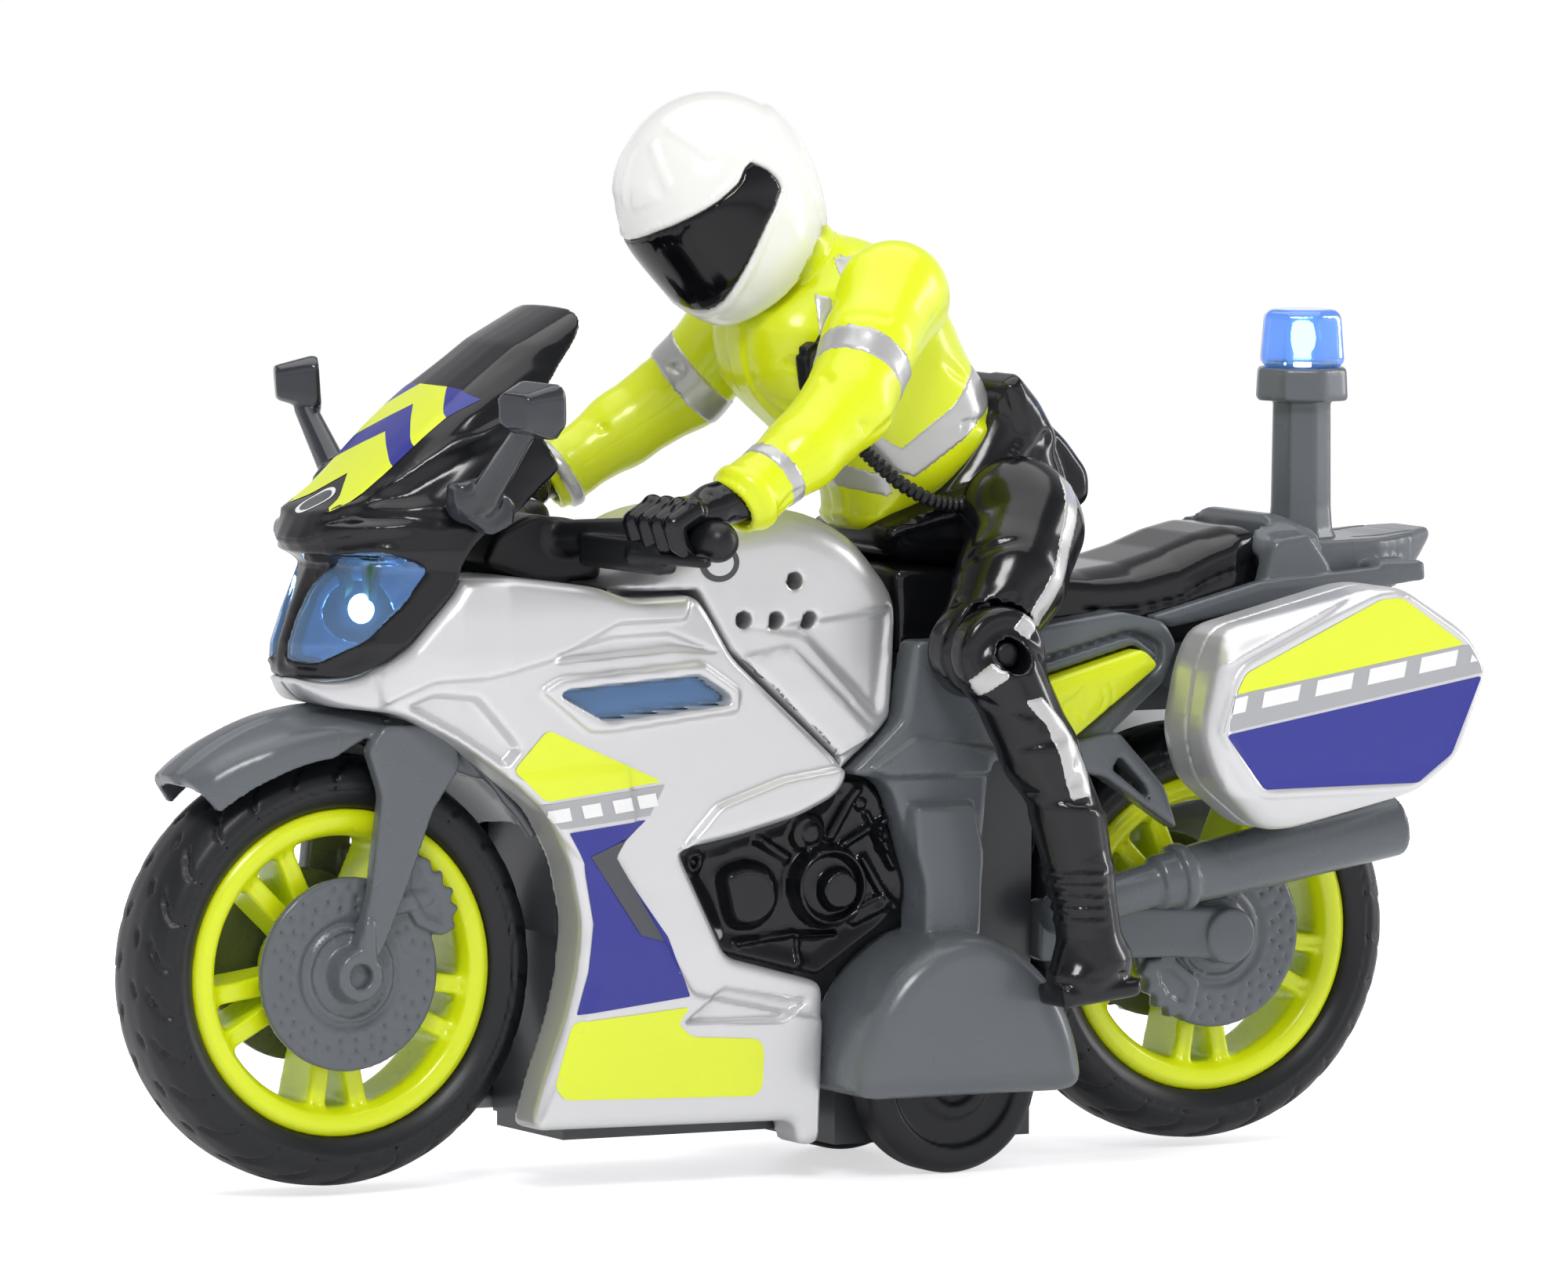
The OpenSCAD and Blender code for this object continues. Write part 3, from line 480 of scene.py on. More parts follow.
# side lamp: clear lens, lamp bowl and lit lamp
gl = Grid((-41.5, -17.2, 56), (-14.5, -11.8, 64.5), 0.3)
l2 = side(gl, P_LENS, 0.9)
solid("side_lens_left_clear", rmax(l2 + 0.02, np.abs(gl.Y + 15.0) - 0.5, 0.25), gl, LENS, "bike",
    ("side_lens_left",), both=True)
solid("side_lamp_left_bowl", meet(l2 - 0.1, np.abs(gl.Y + 12.9) - 0.8,
    -(ellipsoid(gl, (-27.5, -13.6, 60.2), (7, 1.2, 2.6)))), gl, REFLECTOR, both=True)
solid("side_lamp_left_bulb", ellipsoid(gl, (-27.5, -13.5, 60.1), (1.5, 0.7, 1.2)), gl, GLOW, both=True)

# ---------------------------------------------------------------- tank
g = Grid((-31, -16.4, 48), (11, 16.4, 84.5), 0.42)
A = np.abs(g.Y)
ext_pts = [(-33, 60), (-33, 70), (-29.4, 74.6), (-26.5, 77.2), (-18, 81.5), (-8, 82.8), (-2, 81.6),
    (3.6, 78.6), (9.6, 71.2), (9.6, 40), (-33, 40)]
crown = rmax(side(g, ext_pts, 3), A - (15.2 - 0.04 * np.clip(60 - g.Z, 0, 12)), 5.2)
cut2 = side(g, [(-31, 73), (-19.6, 73), (-15.1, 65.5), (-0.3, 52.1), (0.4, 50.3), (7.8, 56.6),
    (9.5, 71.3), (14, 90), (-31, 90)])
lowp = step(side(g, [(-14.9, 64.6), (-7.3, 66), (-6.1, 65.2), (5.2, 54.6), (-0.4, 51.6)], 0.5), 0.5)
waist = 0.9 * step(side(g, [(-14.4, 68.2), (8.2, 70.6), (6.6, 57), (5, 56.2), (-5.4, 66.6),
    (-8, 67)], 1), 1.4)
D = rmax(crown + waist * (A > 8) - 0.5 * lowp * (A > 8), cut2, 0.9)
for hx, hz in ((-13.4, 69.2), (-8.9, 69), (-4.2, 68.9), (-6.4, 73.8)):
    D = meet(D, -(meet(hyp(g, hx, hz) - 1.1, 9 - A)))
TANK = solid("tank_skin", D, g, SILVER, "bike", ("tank_cover",))
T = bvh(TANK)
patch("tank_lower_panel", rp([(-14.3, 64.4), (-7.4, 65.6), (-6.3, 64.9), (4.6, 54.7), (-0.4, 52.2)],
    0.5), T, SILVER, both=True, lift=0.16, pitch=0.6)
patch("tank_badge_ring", oval(-16.9, 76.3, 2.7, 2.35, 32), T, DKPRINT, both=True, pitch=0.5, lift=0.12)
patch("tank_badge_disc", oval(-16.9, 76.3, 1.9, 1.6, 32), T, SILVER, both=True, pitch=0.5, lift=0.18)

# ---------------------------------------------------------------- nose cowl and screen
zc = [60, 64, 67, 71, 76.6, 77.6, 78.2, 81.1, 83.7, 84.7, 87.6, 92.3, 95.6, 97.2, 103, 107.4, 110]
xc = [-68.6, -69.2, -69.0, -67.6, -65.2, -66.4, -67.9, -66.4, -65.0, -62.9, -59.6, -54.8, -51, -49.2,
    -41.2, -33, -28]
g = Grid((-71.5, -18, 61), (-27, 18, 109.5), 0.4)
A = np.abs(g.Y)
yy = A[0]
zz = g.Z[0]
# how far the skin curves back from its middle line, by height: |y| values and set-backs
LV = {62: ([0, 3.6, 6.8, 11.6, 13.6, 15.6, 16.4, 18], [0, 0.7, 3, 8.6, 12.2, 17.6, 22, 40]),
      76: ([0, 3, 6.8, 11.6, 13.6, 15.4, 16.2, 18], [0, 0.5, 2.4, 7.2, 10.6, 16, 22, 40]),
      84: ([0, 3, 7, 10, 13, 15, 16, 18], [0, 0.0, 0.3, 1.8, 6.0, 12, 18, 36]),
      95: ([0, 3, 8, 11, 13, 14.1, 15, 18], [0, 0.05, 0.6, 2.8, 7.4, 10.9, 15, 32]),
      101: ([0, 3, 7, 9.5, 11.2, 12.4, 13.4, 18], [0, 0.1, 0.7, 2.6, 5.6, 8.6, 12, 40]),
      108: ([0, 3, 5, 7, 8.6, 10, 11, 18], [0, 0.1, 0.3, 0.8, 1.7, 3.4, 6, 40])}
zs = sorted(LV)
K = np.zeros(np.broadcast_shapes(yy.shape, zz.shape), np.float32)
Kl = [np.interp(yy, *LV[z]) * np.ones_like(zz) for z in zs]
for i in range(len(zs) - 1):
    t = np.clip((zz - zs[i]) / (zs[i + 1] - zs[i]), 0, 1)
    K = np.where(zz >= zs[i], Kl[i] * (1 - t) + Kl[i + 1] * t, K)
K = np.where(zz < 62, Kl[0], K)
F = np.interp(zz, zc, xc) + K
# lamp recesses, brow and side blades as relief on the front
LAMP = [(1.5, 65.4), (1.5, 70), (2, 73.5), (3.8, 76), (8, 78), (12.4, 78.8), (13.1, 76.5), (12.5, 72),
    (10.2, 67.8), (6, 64.8)]
lamp2 = pdist(yy, zz, rp(LAMP, 0.8))
ws = np.interp(zz, [80, 82, 84.5, 87, 92, 96, 100, 104, 110],
    [2.5, 5.5, 8.6, 10.4, 11.6, 11.4, 10.6, 9.6, 9])
F = F + 1.5 * step(meet(ws - yy, 81.5 - zz), 0.8)
F = (F - 0.8 * step(pdist(yy, zz, rp([(x * 1.06 - 0.2, 71.4 + (z - 71.4) * 1.13) for x, z in LAMP], 1)),
    0.6))
F = (F - 1.1 * step(pdist(yy, zz, rp([(-3, 78.4), (4, 78.6), (9, 79.8), (13.8, 81), (14.6, 82.8),
    (9, 82.6), (6, 84), (-3, 83.4)], 1)), 0.9))
blade = pdist(yy, zz, rp([(9.2, 85.4), (11, 85.2), (14, 93.4), (12.6, 95.6)], 1))
F = F - 1.5 * step(blade, 0.7) + 0.8 * step(blade + 0.8, 0.4)
F = F - 0.8 * step(pdist(yy, zz, rp([(10, 66.4), (14.2, 66.8), (14.6, 78.4), (13.9, 78.6)], 0.6)), 0.6)
FL = F.copy()
F = F + 2.6 * step(lamp2, 0.4)
F = (F + np.roll(F, 1, 0) + np.roll(F, -1, 0) + np.roll(F, 1, 1) + np.roll(F, -1, 1)) / 5
gy, gz = np.gradient(F, g.h)
nrm = np.sqrt(1 + gy ** 2 + gz ** 2)
ly_, lz_ = np.gradient(FL, g.h)
nrl = np.sqrt(1 + ly_ ** 2 + lz_ ** 2)
front = ((F - g.X) / nrm).astype(np.float32)
W = np.interp(zz, [60, 66, 84, 90, 94, 98, 102, 104.5, 106, 107, 107.6, 108.2],
    [15.7, 15.8, 16, 15.6, 14.4, 13.2, 12.2, 11.2, 10, 8.4, 6.4, -2])
skin = rmax(front, A - W, 1.2)
P_COWL = [(-71, 63.2), (-67, 62.8), (-63.3, 63.2), (-59, 66.2), (-54.8, 71.1), (-52.2, 74.1),
    (-51, 78.6), (-48.6, 80.9), (-45, 82.8), (-38.6, 88.4), (-40.9, 92.6), (-40.6, 96), (-36.8, 100.6),
    (-33.6, 104.3), (-32.6, 107), (-32.6, 110), (-75, 110)]
prof = side(g, P_COWL, 1.2)
th = 1.5
D = rmax(meet(skin, -(skin + th)), prof, 0.5)
COWL = solid("cowl_and_screen", D, g, BLACK, "bike", ("front_cowl", "windscreen"))
T = bvh(COWL)
# lamps behind clear blue lenses
lensd = meet((FL + 0.55 - g.X) / nrl, -((FL + 1.35 - g.X) / nrl), lamp2 - 0.3)
solid("headlight_lenses", lensd, g, LENS, "bike", ("headlights",))
bowl = meet((FL + 2.3 - g.X) / nrl, -((FL + 4.4 - g.X) / nrl), lamp2 - 0.2)
for sy in (-1, 1):
    bowl = meet(bowl, -(ellipsoid(g, (-62.2, sy * 7.4, 71.2), (4.4, 4.4, 3.6))))
solid("headlight_bowls", bowl, g, REFLECTOR, "bike")
gb = Grid((-66, -11, 67), (-58, 11, 76), 0.3)
solid("headlight_bulbs", join(ellipsoid(gb, (-61.6, -7.6, 71.4), (1.6, 1.9, 1.9)),
    ellipsoid(gb, (-61.6, 7.6, 71.4), (1.6, 1.9, 1.9))), gb, GLOW)
# printed chevrons on the screen, in the (y, z) plane
def on_screen(name, pts, mat, lift=0.06):
    patch(name, pts, T, mat, d=(1, 0, 0), ax=(1, 2), lift=lift, pitch=0.8, far=120)
on_screen("print_chevron_lime_low", [(0, 87.4), (5.5, 83.6), (6.4, 83.2), (7.3, 84.4), (7.7, 86.6),
    (8.1, 88.6), (0, 92.3), (-8.1, 88.6), (-7.7, 86.6), (-7.3, 84.4), (-6.4, 83.2),
    (-5.5, 83.6)], LIMEDECAL)
on_screen("print_chevron_blue_low", [(0, 92.3), (8.1, 88.6), (8.5, 91), (0, 95.6), (-8.5, 91),
    (-8.1, 88.6)], BLUE)
on_screen("print_chevron_lime_top", [(0, 95.6), (8.5, 91), (9, 94.4), (3.6, 97.8), (-3.6, 97.8),
    (-9, 94.4), (-8.5, 91)], LIMEDECAL)
for s in (-1, 1):
    on_screen("print_chevron_blue_tip_%d" % (s + 1), [(s * 3.6, 97.8), (s * 9, 94.4), (s * 10.4, 96.6),
        (s * 7, 97.6)][::s], BLUE)
on_screen("print_badge_ring", oval(0, 84.2, 2.3, 1.5, 28), WHITE)
on_screen("print_badge_disc", oval(0, 84.2, 1.85, 1.15, 28), DKPRINT, 0.1)

# ---------------------------------------------------------------- engine inserts
P_ENG = [(-22.2, 41.2), (-15.5, 42.5), (-7, 44.5), (-2.1, 46.8), (-0.2, 49), (4.8, 48.6), (6.6, 46.8),
    (10.2, 36), (10.1, 33.8), (6.6, 30.4), (-1.8, 25), (-15.8, 28.6)]
g = Grid((-24, -17.6, 23), (12, -8.8, 51), 0.33)
P2 = side(g, P_ENG)
def disc(x, z, r):
    return hyp(g, x, z) - r
Y = 13.2 - 1.0 * step(P2, 3)
Y = (Y + 2.2 * step(side(g, [(-16.4, 38.6), (-12, 40.2), (-7.6, 38.6), (-6.8, 33.4), (-10, 30.6),
    (-14.6, 31)], 2), 1.5))
Y = (Y + 2.9 * step(disc(-0.6, 36, 5.3), 0.8) - 1.7 * step(disc(-0.6, 36, 4.3), 0.6)
    + 1.9 * step(disc(0.4, 35.6, 2.7), 0.5))
Y = (Y + 1.3 * step(disc(-3.2, 42.6, 2.6), 0.6) + 0.8 * step(disc(-3.2, 42.6, 1.5), 0.5)
    + 0.9 * step(disc(-19, 39.6, 1.6), 0.5) - 0.8 * step(disc(-19, 39.6, 0.8), 0.4))
for a, b, r in (((0, 42), (3.4, 47.4), 0.9), ((2, 41), (7.6, 44), 0.7), ((-10, 42), (-6, 39.6), 0.8),
        ((4.6, 39), (8.6, 33), 0.8), ((3.4, 32), (6.8, 33.6), 1.3), ((-4.4, 30), (-4.4, 26.6), 0.5),
        ((-4.4, 30), (0.8, 30), 0.5), ((-13, 29.4), (-5, 30.2), 0.6), ((5, 44.6), (8.4, 38), 0.6)):
    Y = Y + 1.1 * step(line_dist(g.X, g.Z, a, b) - r, 0.6)
for bx, bz in ((4.2, 45.8), (7.2, 40.6), (6.4, 42.6)):
    Y = Y + 0.8 * step(disc(bx, bz, 0.9), 0.35)
D = meet(P2, (-g.Y - Y) * 0.8, g.Y + 9.3)
solid("engine_left_cast", D, g, BLACK, "bike", ("engine_left",), both=True)

# ---------------------------------------------------------------- side frames and drive-wheel guards
g = Grid((-3, -27.2, 9.4), (48.5, -9.4, 70.4), 0.42)
A = -g.Y
gd = side(g, P_GUARD, 3.2)
gdome = rmax(gd, A - 26, 3.2)
gdome = meet(gdome, 10.5 - g.Z, 10.05 - A)
cav = rmax(gd + 1.5, A - 24.5, 2.4)
gdome = meet(gdome, -cav)
p1 = side(g, [(10.4, 27.5), (10.4, 36), (6.9, 47.4), (5.2, 49.2), (0.9, 49.9), (8.2, 56.4), (9.9, 66),
    (16, 66), (39, 68.8), (45.2, 67.4), (47, 64.5), (45.4, 60), (32.5, 49.5), (20.5, 51), (19.5, 40),
    (18.5, 27.5)], 1.0)
Yf = 16.6 + 2.2 * step(side(g, [(8.6, 28), (8.2, 46.4), (17.6, 46.4), (19.2, 40), (18.6, 28)], 1.2), 0.9)
Yf = (Yf + 0.9 * step(side(g, [(2.6, 50.4), (9.6, 54.6), (22, 52.6), (30, 50), (24, 49),
    (6, 49)], 0.8), 0.7))
Yf = (Yf - 1.2 * step(side(g, [(20, 58.6), (22.6, 62.4), (40.6, 66.8), (45, 65), (45, 62), (30.6, 51.6)],
    1.6), 0.5) + 1.6 * step(side(g, [(21.6, 59.6), (23.4, 62), (40.4, 66.2), (44.6, 63.2),
    (30.4, 52.2)], 1.2), 0.5))
frm = rmax(p1, A - Yf, 0.8)
frm = meet(frm, 12 - A)
btn = side(g, [(23.2, 59.8), (40.6, 64.4), (43, 62.2), (30.2, 53)], 0.8)
frm = meet(frm, -(btn - 0.3))
wing = rmax(side(g, [(26, 50.6), (36, 48.4), (46.6, 41.4), (44.6, 47), (38, 54), (30, 53)], 0.7),
    np.abs(A - 16) - 1.9, 0.6)
wing = meet(wing, -side(g, [(37, 49.4), (42.8, 45), (41.6, 47.4), (38, 51)]), -(btn - 0.3))
D = join(gdome, frm, wing)
solid("frame_left_moulding", D, g, GREY, "bike", ("frame_left",), both=True)
# button: cushion-shaped cap with an embossed speaker mark
g = Grid((21.5, -20.4, 51.5), (44.5, -11, 66), 0.3)
b2 = side(g, [(23.2, 59.8), (40.6, 64.4), (43, 62.2), (30.2, 53)], 1.0)
Yb = 19.3 + 0.5 * step(b2, 2.5)
horn = side(g, [(28.6, 58.2), (30, 58.8), (32, 60.6), (32, 55.6), (30, 56.8), (28.6, 56.8)])
arcs = 9
for rr in (2.0, 3.4):
    arcs = join(arcs, meet(np.abs(hyp(g, 32.6, 58.2) - rr) - 0.3, np.abs(g.Z - 58.2)
        - 0.75 * (g.X - 32.2)))
em = -0.28 * step(join(horn, arcs), 0.3)
D = meet(rmax(b2 + 0.05, -g.Y - Yb - em, 0.7), g.Y + 14.2)
stem = meet(hyp(g, 33, 60) - 1.4, g.Y + 12.6, -g.Y - 14.6)
cap = solid("button_cap", join(D, stem), g, LIME, "button", ("sound_button",))[0]
put_mirrored("panel_right_cap", cap.data, LIME, "bike", ("panel_right",))

# ---------------------------------------------------------------- wheels
def wheel(end, x0):
    z0 = AXLE_Z
    g = Grid((x0 - 27, -7.6, z0 - 27), (x0 + 27, 7.6, z0 + 27), 0.42)
    A, R = np.abs(g.Y), hyp(g, x0, z0)
    th = np.degrees(np.arctan2(-(g.Z - z0), g.X - x0))
    D = pdist(R, A, rp([(19.9, -3), (19.9, 5.4), (21, 6.3), (22.5, 7.0), (24.3, 6.5), (25.5, 5.0),
        (26.2, 2.8), (26.4, 0), (26.4, -3)], 0.6))
    side = np.where(g.Y > 0, 180 / 26, 0)
    u = R * np.radians((th + side) % (360 / 26) - 180 / 26)
    for a, b in (((-1.5, 6.2), (0.3, 4.9)), ((0.3, 4.9), (1.7, 4.2)), ((1.2, 2.2), (2.6, 1.7))):
        D = D + 0.45 * step(line_dist(u, A, a, b) - 0.42, 0.3) * (R > 22.5)
    D = D + 0.25 * step(np.abs(R - 22.6) - 0.25, 0.2)
    solid(end + "_tyre_rubber", D, g, TYRE, end + "_wheel", (end + "_tyre",))
    D = pdist(R, A, rp([(16.5, -3), (16.5, 4.0), (17.3, 5.7), (19.0, 6.05), (20.0, 5.3),
        (20.0, -3)], 0.5))
    tf = np.abs((th - 18 + 36) % 72 - 36) - 10
    uu, vv = R * np.cos(np.radians(tf)), R * np.sin(np.radians(tf))
    spoke = rmax(np.abs(vv) - (1.45 - 0.02 * uu), A - (3.9 + 0.10 * np.clip(uu - 8, 0, 9)), 0.6)
    spoke = meet(spoke, R - 17.3, 3 - R, -(rmax(np.abs(vv) - 0.45, 4.3 - A, 0.2)))
    D = smin(D, spoke, 0.9)
    D = join(D, rmax(R - 6.2, A - 5.8, 0.6))
    D = meet(D, 1.56 - R)
    solid(end + "_rim_cast", D, g, LIME, end + "_wheel", (end + "_rim",))
wheel("front", FRONT_X)
wheel("rear", REAR_X)

def drive_tyre():
    x0, z0 = 15.7, 11.8
    g = Grid((x0 - 12.4, -17.4, z0 - 12.4), (x0 + 12.4, -10, z0 + 12.4), 0.36)
    R = hyp(g, x0, z0)
    D = pdist(R, -g.Y, rp([(-3, 10.65), (11.1, 10.65), (11.8, 11.3), (11.8, 15.9), (10.9, 16.85),
        (-3, 16.85)], 0.5))
    D = (D + 0.7 * step(R - 8.7, 0.5) * (g.Y < -14) - 0.45 * step(R - 5.2, 0.4) * (g.Y < -14)
        + 0.45 * step(R - 3.4, 0.4) * (g.Y < -14))
    D = meet(D, 1.55 - R)
    tyre = solid("drive_wheel_left_tyre", D, g, TYRE, "drive", ("drive_wheel_left",))[0]
    put_mirrored("drive_wheel_right_tyre", tyre.data, TYRE, "drive", ("drive_wheel_right",))
drive_tyre()

# ---------------------------------------------------------------- fork, fender and brake discs
def brake_disc(g, x0, z0, caliper, arm):
    A, R = -g.Y, hyp(g, x0, z0)
    th = np.arctan2(g.Z - z0, g.X - x0)
    Y = (7.75 - 0.35 * step(R - 6.9, 0.3) + 0.55 * step(R - 6.0, 0.3) - 0.5 * step(np.abs(R - 4.9)
        - 0.35, 0.3) + 2.9 * step(R - 3.6, 0.7))
    for rk, n, off in ((10.7, 30, 0), (9.3, 30, math.pi / 30), (8.0, 24, 0)):
        ta = (th + off) % (2 * math.pi / n) - math.pi / n
        Y = Y - 0.55 * step(np.sqrt((R - rk) ** 2 + (rk * ta) ** 2) - 0.34, 0.22)
    c2 = side(g, caliper)
    Yc = 8.7 - 0.5 * step(c2 + 1.3, 0.5) + 0.4 * step(side(g, arm), 0.5)
    D = meet(R - 11.8, A - Y)
    D = join(D, rmax(join(c2, side(g, arm)), A - Yc, 0.35))
    return meet(D, 6.4 - A)

g = Grid((-94, -11.6, 15), (-33.5, 11.61, 63.4), 0.42)
A, R = np.abs(g.Y), hyp(g, FRONT_X, AXLE_Z)
cal = [(-56.6, 41), (-54.4, 41.6), (-52.6, 40.8), (-52.3, 39.3), (-50.9, 39.4), (-50.8, 37.6),
    (-49.3, 37.2), (-49.9, 35.7), (-48.6, 34.9), (-49.6, 33.6), (-49, 32.4), (-51, 31.4),
    (-54.4, 32.8), (-57, 37)]
armf = [(-60, 36.6), (-52.2, 37.6), (-52, 35.2), (-60, 33.6)]
w = np.interp(g.X, [-86, -81, -74, -66], [4.6, 7.4, 9.2, 9.5])
fen = rmax(R - (31.9 - 0.022 * A ** 2), A - w, 1.6)
fen = meet(fen, -meet(R - 30.1 + 0.02 * A ** 2, A - w + 1.4), 26.6 - R + 0.5 * np.clip(g.X + 66, 0, 9)
    - 0.3 * np.clip(g.X + 52, 0, 9), side(g, [(-63, 27.2), (-34, 46.4), (-34, 72), (-80, 75),
    (-95, 64.6)], 2))
fen = fen - 0.5 * step(A - 2.6, 0.8) * (R > 30.6)
leg = rmax(side(g, [(-64.1, 27.2), (-63.2, 31), (-61.5, 37.2), (-60.1, 49), (-62, 54.5), (-60, 57.4),
    (-50.6, 57.4), (-49.6, 52), (-53.2, 47), (-56.3, 38.6), (-59.5, 31.2), (-61.6, 27)], 0.8),
    np.abs(A - 9.4) - 1.25, 0.5)
leg = join(leg, rmax(side(g, [(-62.7, 27), (-62.6, 34), (-61.2, 34), (-60.9, 27)], 0.5), A - 11.1, 0.35))
leg = meet(leg, 8.05 - A)
brace = rmax(side(g, [(-57.5, 56.2), (-55, 59.4), (-46, 60.2), (-36.2, 60.2), (-36.2, 56.8), (-42, 54.4),
    (-45, 50), (-49, 51.4)], 1), A - 8.2, 0.6)
D = smin(join(fen, brace), leg, 0.8)
D = join(D, brake_disc(folded(g, -1), FRONT_X, AXLE_Z, cal, armf))
D = meet(D, 1.52 - R)
solid("front_fork_and_fender", D, g, GREY, "bike", ("front_fork",))

g = Grid((30, -12.2, 14), (71, -6, 40.5), 0.4)
calr = [(47.6, 24.4), (46.6, 22.6), (47.9, 21.7), (47.4, 20.2), (48.9, 19.8), (48.8, 18.3), (50.4, 18.3),
    (50.8, 16.9), (52.2, 17.4), (53.3, 16.2), (54.4, 17.6), (55.2, 21.4), (51.4, 24.6)]
armr = [(50, 27.4), (58, 27.8), (58, 25.6), (51, 24.8)]
D = brake_disc(g, REAR_X, AXLE_Z, calr, armr)
arm = rmax(side(g, [(30.6, 25), (30.6, 33), (50, 31.2), (59, 30.6), (62.2, 27.2), (59.4, 24),
    (50, 24.8)], 1.2), np.abs(-g.Y - 9.4) - 1.5, 0.6)
D = join(D, arm, rmax(hyp(g, REAR_X, AXLE_Z) - 3.6, -g.Y - 11.5, 0.6))
solid("swingarm_left_cast", D, g, GREY, "bike", ("swingarm_left",), both=True)

g = Grid((29, -20.6, 27.5), (81, -11, 46.5), 0.4)
lx, ly, lz = local(g, (61.5, -16, 37.85), (35.5, 0, 6.2), (0, 0, 1))
rr = np.sqrt(ly ** 2 + lz ** 2)
D = rmax(rr - (3.95 - 0.03 * np.clip(-lx, 0, 18)), np.abs(lx) - 17.6, 0.5)
D = meet(D, -meet(rr - 3.2, 9 - lx))
D = join(D, rmax(rr - 4.25, np.abs(lx + 14) - 0.9, 0.4))
D = smin(D, capsule(g, (44.5, -16, 34.8), (31.6, -14.4, 31.4), 2.75), 0.8)
solid("exhaust_left_can", D, g, GREY, "bike", ("exhaust_left",), both=True)

# ---------------------------------------------------------------- panniers
P_PAN = [(43.2, 62.9), (45.3, 67.4), (65.8, 72.3), (69.8, 72), (79.1, 66.2), (82, 61.8), (77.8, 50.6),
    (71.9, 46.4), (55, 42.1), (51, 42.4), (43.4, 48.4), (41.6, 54.6)]
P_PANEL = [(45.2, 60.1), (46.3, 62.6), (65.8, 71.3), (69.2, 71.3), (78.5, 65), (81, 61), (76.6, 50.9),
    (71.6, 47.4), (49.2, 47.2), (43.7, 54.7)]
g = Grid((40.6, -34.8, 41), (83, -20, 73.4), 0.36)
A = -g.Y
P2 = side(g, P_PAN, 2.2)
up = (-(g.X - 44.6) * 8.9 + (g.Z - 63.4) * 19.6) / 21.5
Y = (33.5 - 0.75 * np.clip(up - 0.4, 0, 9) - 0.5 * np.clip(46.8 - g.Z, 0, 6) ** 1.15
    - 0.5 * np.clip(44.4 - g.X, 0, 6))
pan = side(g, P_PANEL, 1.6)
Y = (Y + 0.45 * step(pan - 0.9, 0.5) - 0.35 * step(pan + 0.1, 0.35)
    + 0.4 * step(np.abs(up - 0.1) - 0.35, 0.35))
D = rmax(P2, A - Y, 1.8)
D = meet(D, 20.4 - A)
D = rmax(D, P2 + 0.8 - 0.45 * np.clip(A - 20.4, 0, 3), 0.6)
D = D + 0.35 * step(np.abs(A - 27.2) - 0.25, 0.25)
PAN = solid("pannier_left_case", D, g, SILVER, "bike", ("pannier_left",), both=True)
T = bvh(PAN)
patch("pannier_print_lime", rp([(45.1, 59.5), (46.6, 62.1), (65.9, 70.7), (69, 70.8), (78, 64.8)], 0.7),
    T, LIMEDECAL, both=True)
patch("pannier_print_band", [(44.8, 59.5), (78.6, 64.8), (80.2, 62.2), (80.6, 61.2), (43.6, 54.9),
    (43.9, 56.6)], T, BAND, both=True)
patch("pannier_print_blue", rp([(43.9, 54.6), (80.6, 60.8), (76.3, 51.2), (71.5, 47.8), (49.4, 47.7)],
    0.6), T, BLUE, both=True)
for i, (x, x1) in enumerate(((44.6, 46.6), (48.9, 54.1), (56.5, 61.7), (64, 69.3),
        (71.4, 76.7), (78.8, 79.8))):
    z, z1 = (57.0 + (q - 44) * 0.158 for q in (x, x1))
    patch("pannier_dash_%d" % i, [(x, z), (x1, z1), (x1 + 0.4, z1 + 2.0), (x + 0.4, z + 2.0)], T, WHITE,
        both=True, lift=0.1)

# ---------------------------------------------------------------- seat, tail, rail and lamp
g = Grid((9, -12.4, 63.6), (64.5, 12.4, 79.6), 0.42)
A = np.abs(g.Y)
top = (np.interp(g.X, [9, 13, 20, 30, 38, 44, 50, 55, 59, 62, 65], [75, 75, 74.3, 73.4, 73.3, 74, 75.6,
    77.4, 78.3, 78.2, 77]) - 0.5 * np.clip((A - 5) / 6.4, 0, 1) ** 2 * np.interp(g.X,
    [35, 50, 62], [2.5, 5, 3]))
wseat = np.interp(g.X, [9, 30, 42, 58, 63], [9.8, 10.6, 11.4, 11.4, 9.4])
D = rmax(rmax((g.Z - top) * 0.94, A - wseat - 0.10 * np.clip(72 - g.Z, 0, 4), 0.9),
    meet(10.5 - g.X, g.X - 62.6), 1.2)
D = meet(D, 64.35 - g.Z)
D = D + 0.35 * step(np.abs(g.Z - (top - 3.3)) - 0.22, 0.22) * (A > 8) * (g.X > 36)
solid("seat_cushion", D, g, BLACK, "bike", ("seat",))

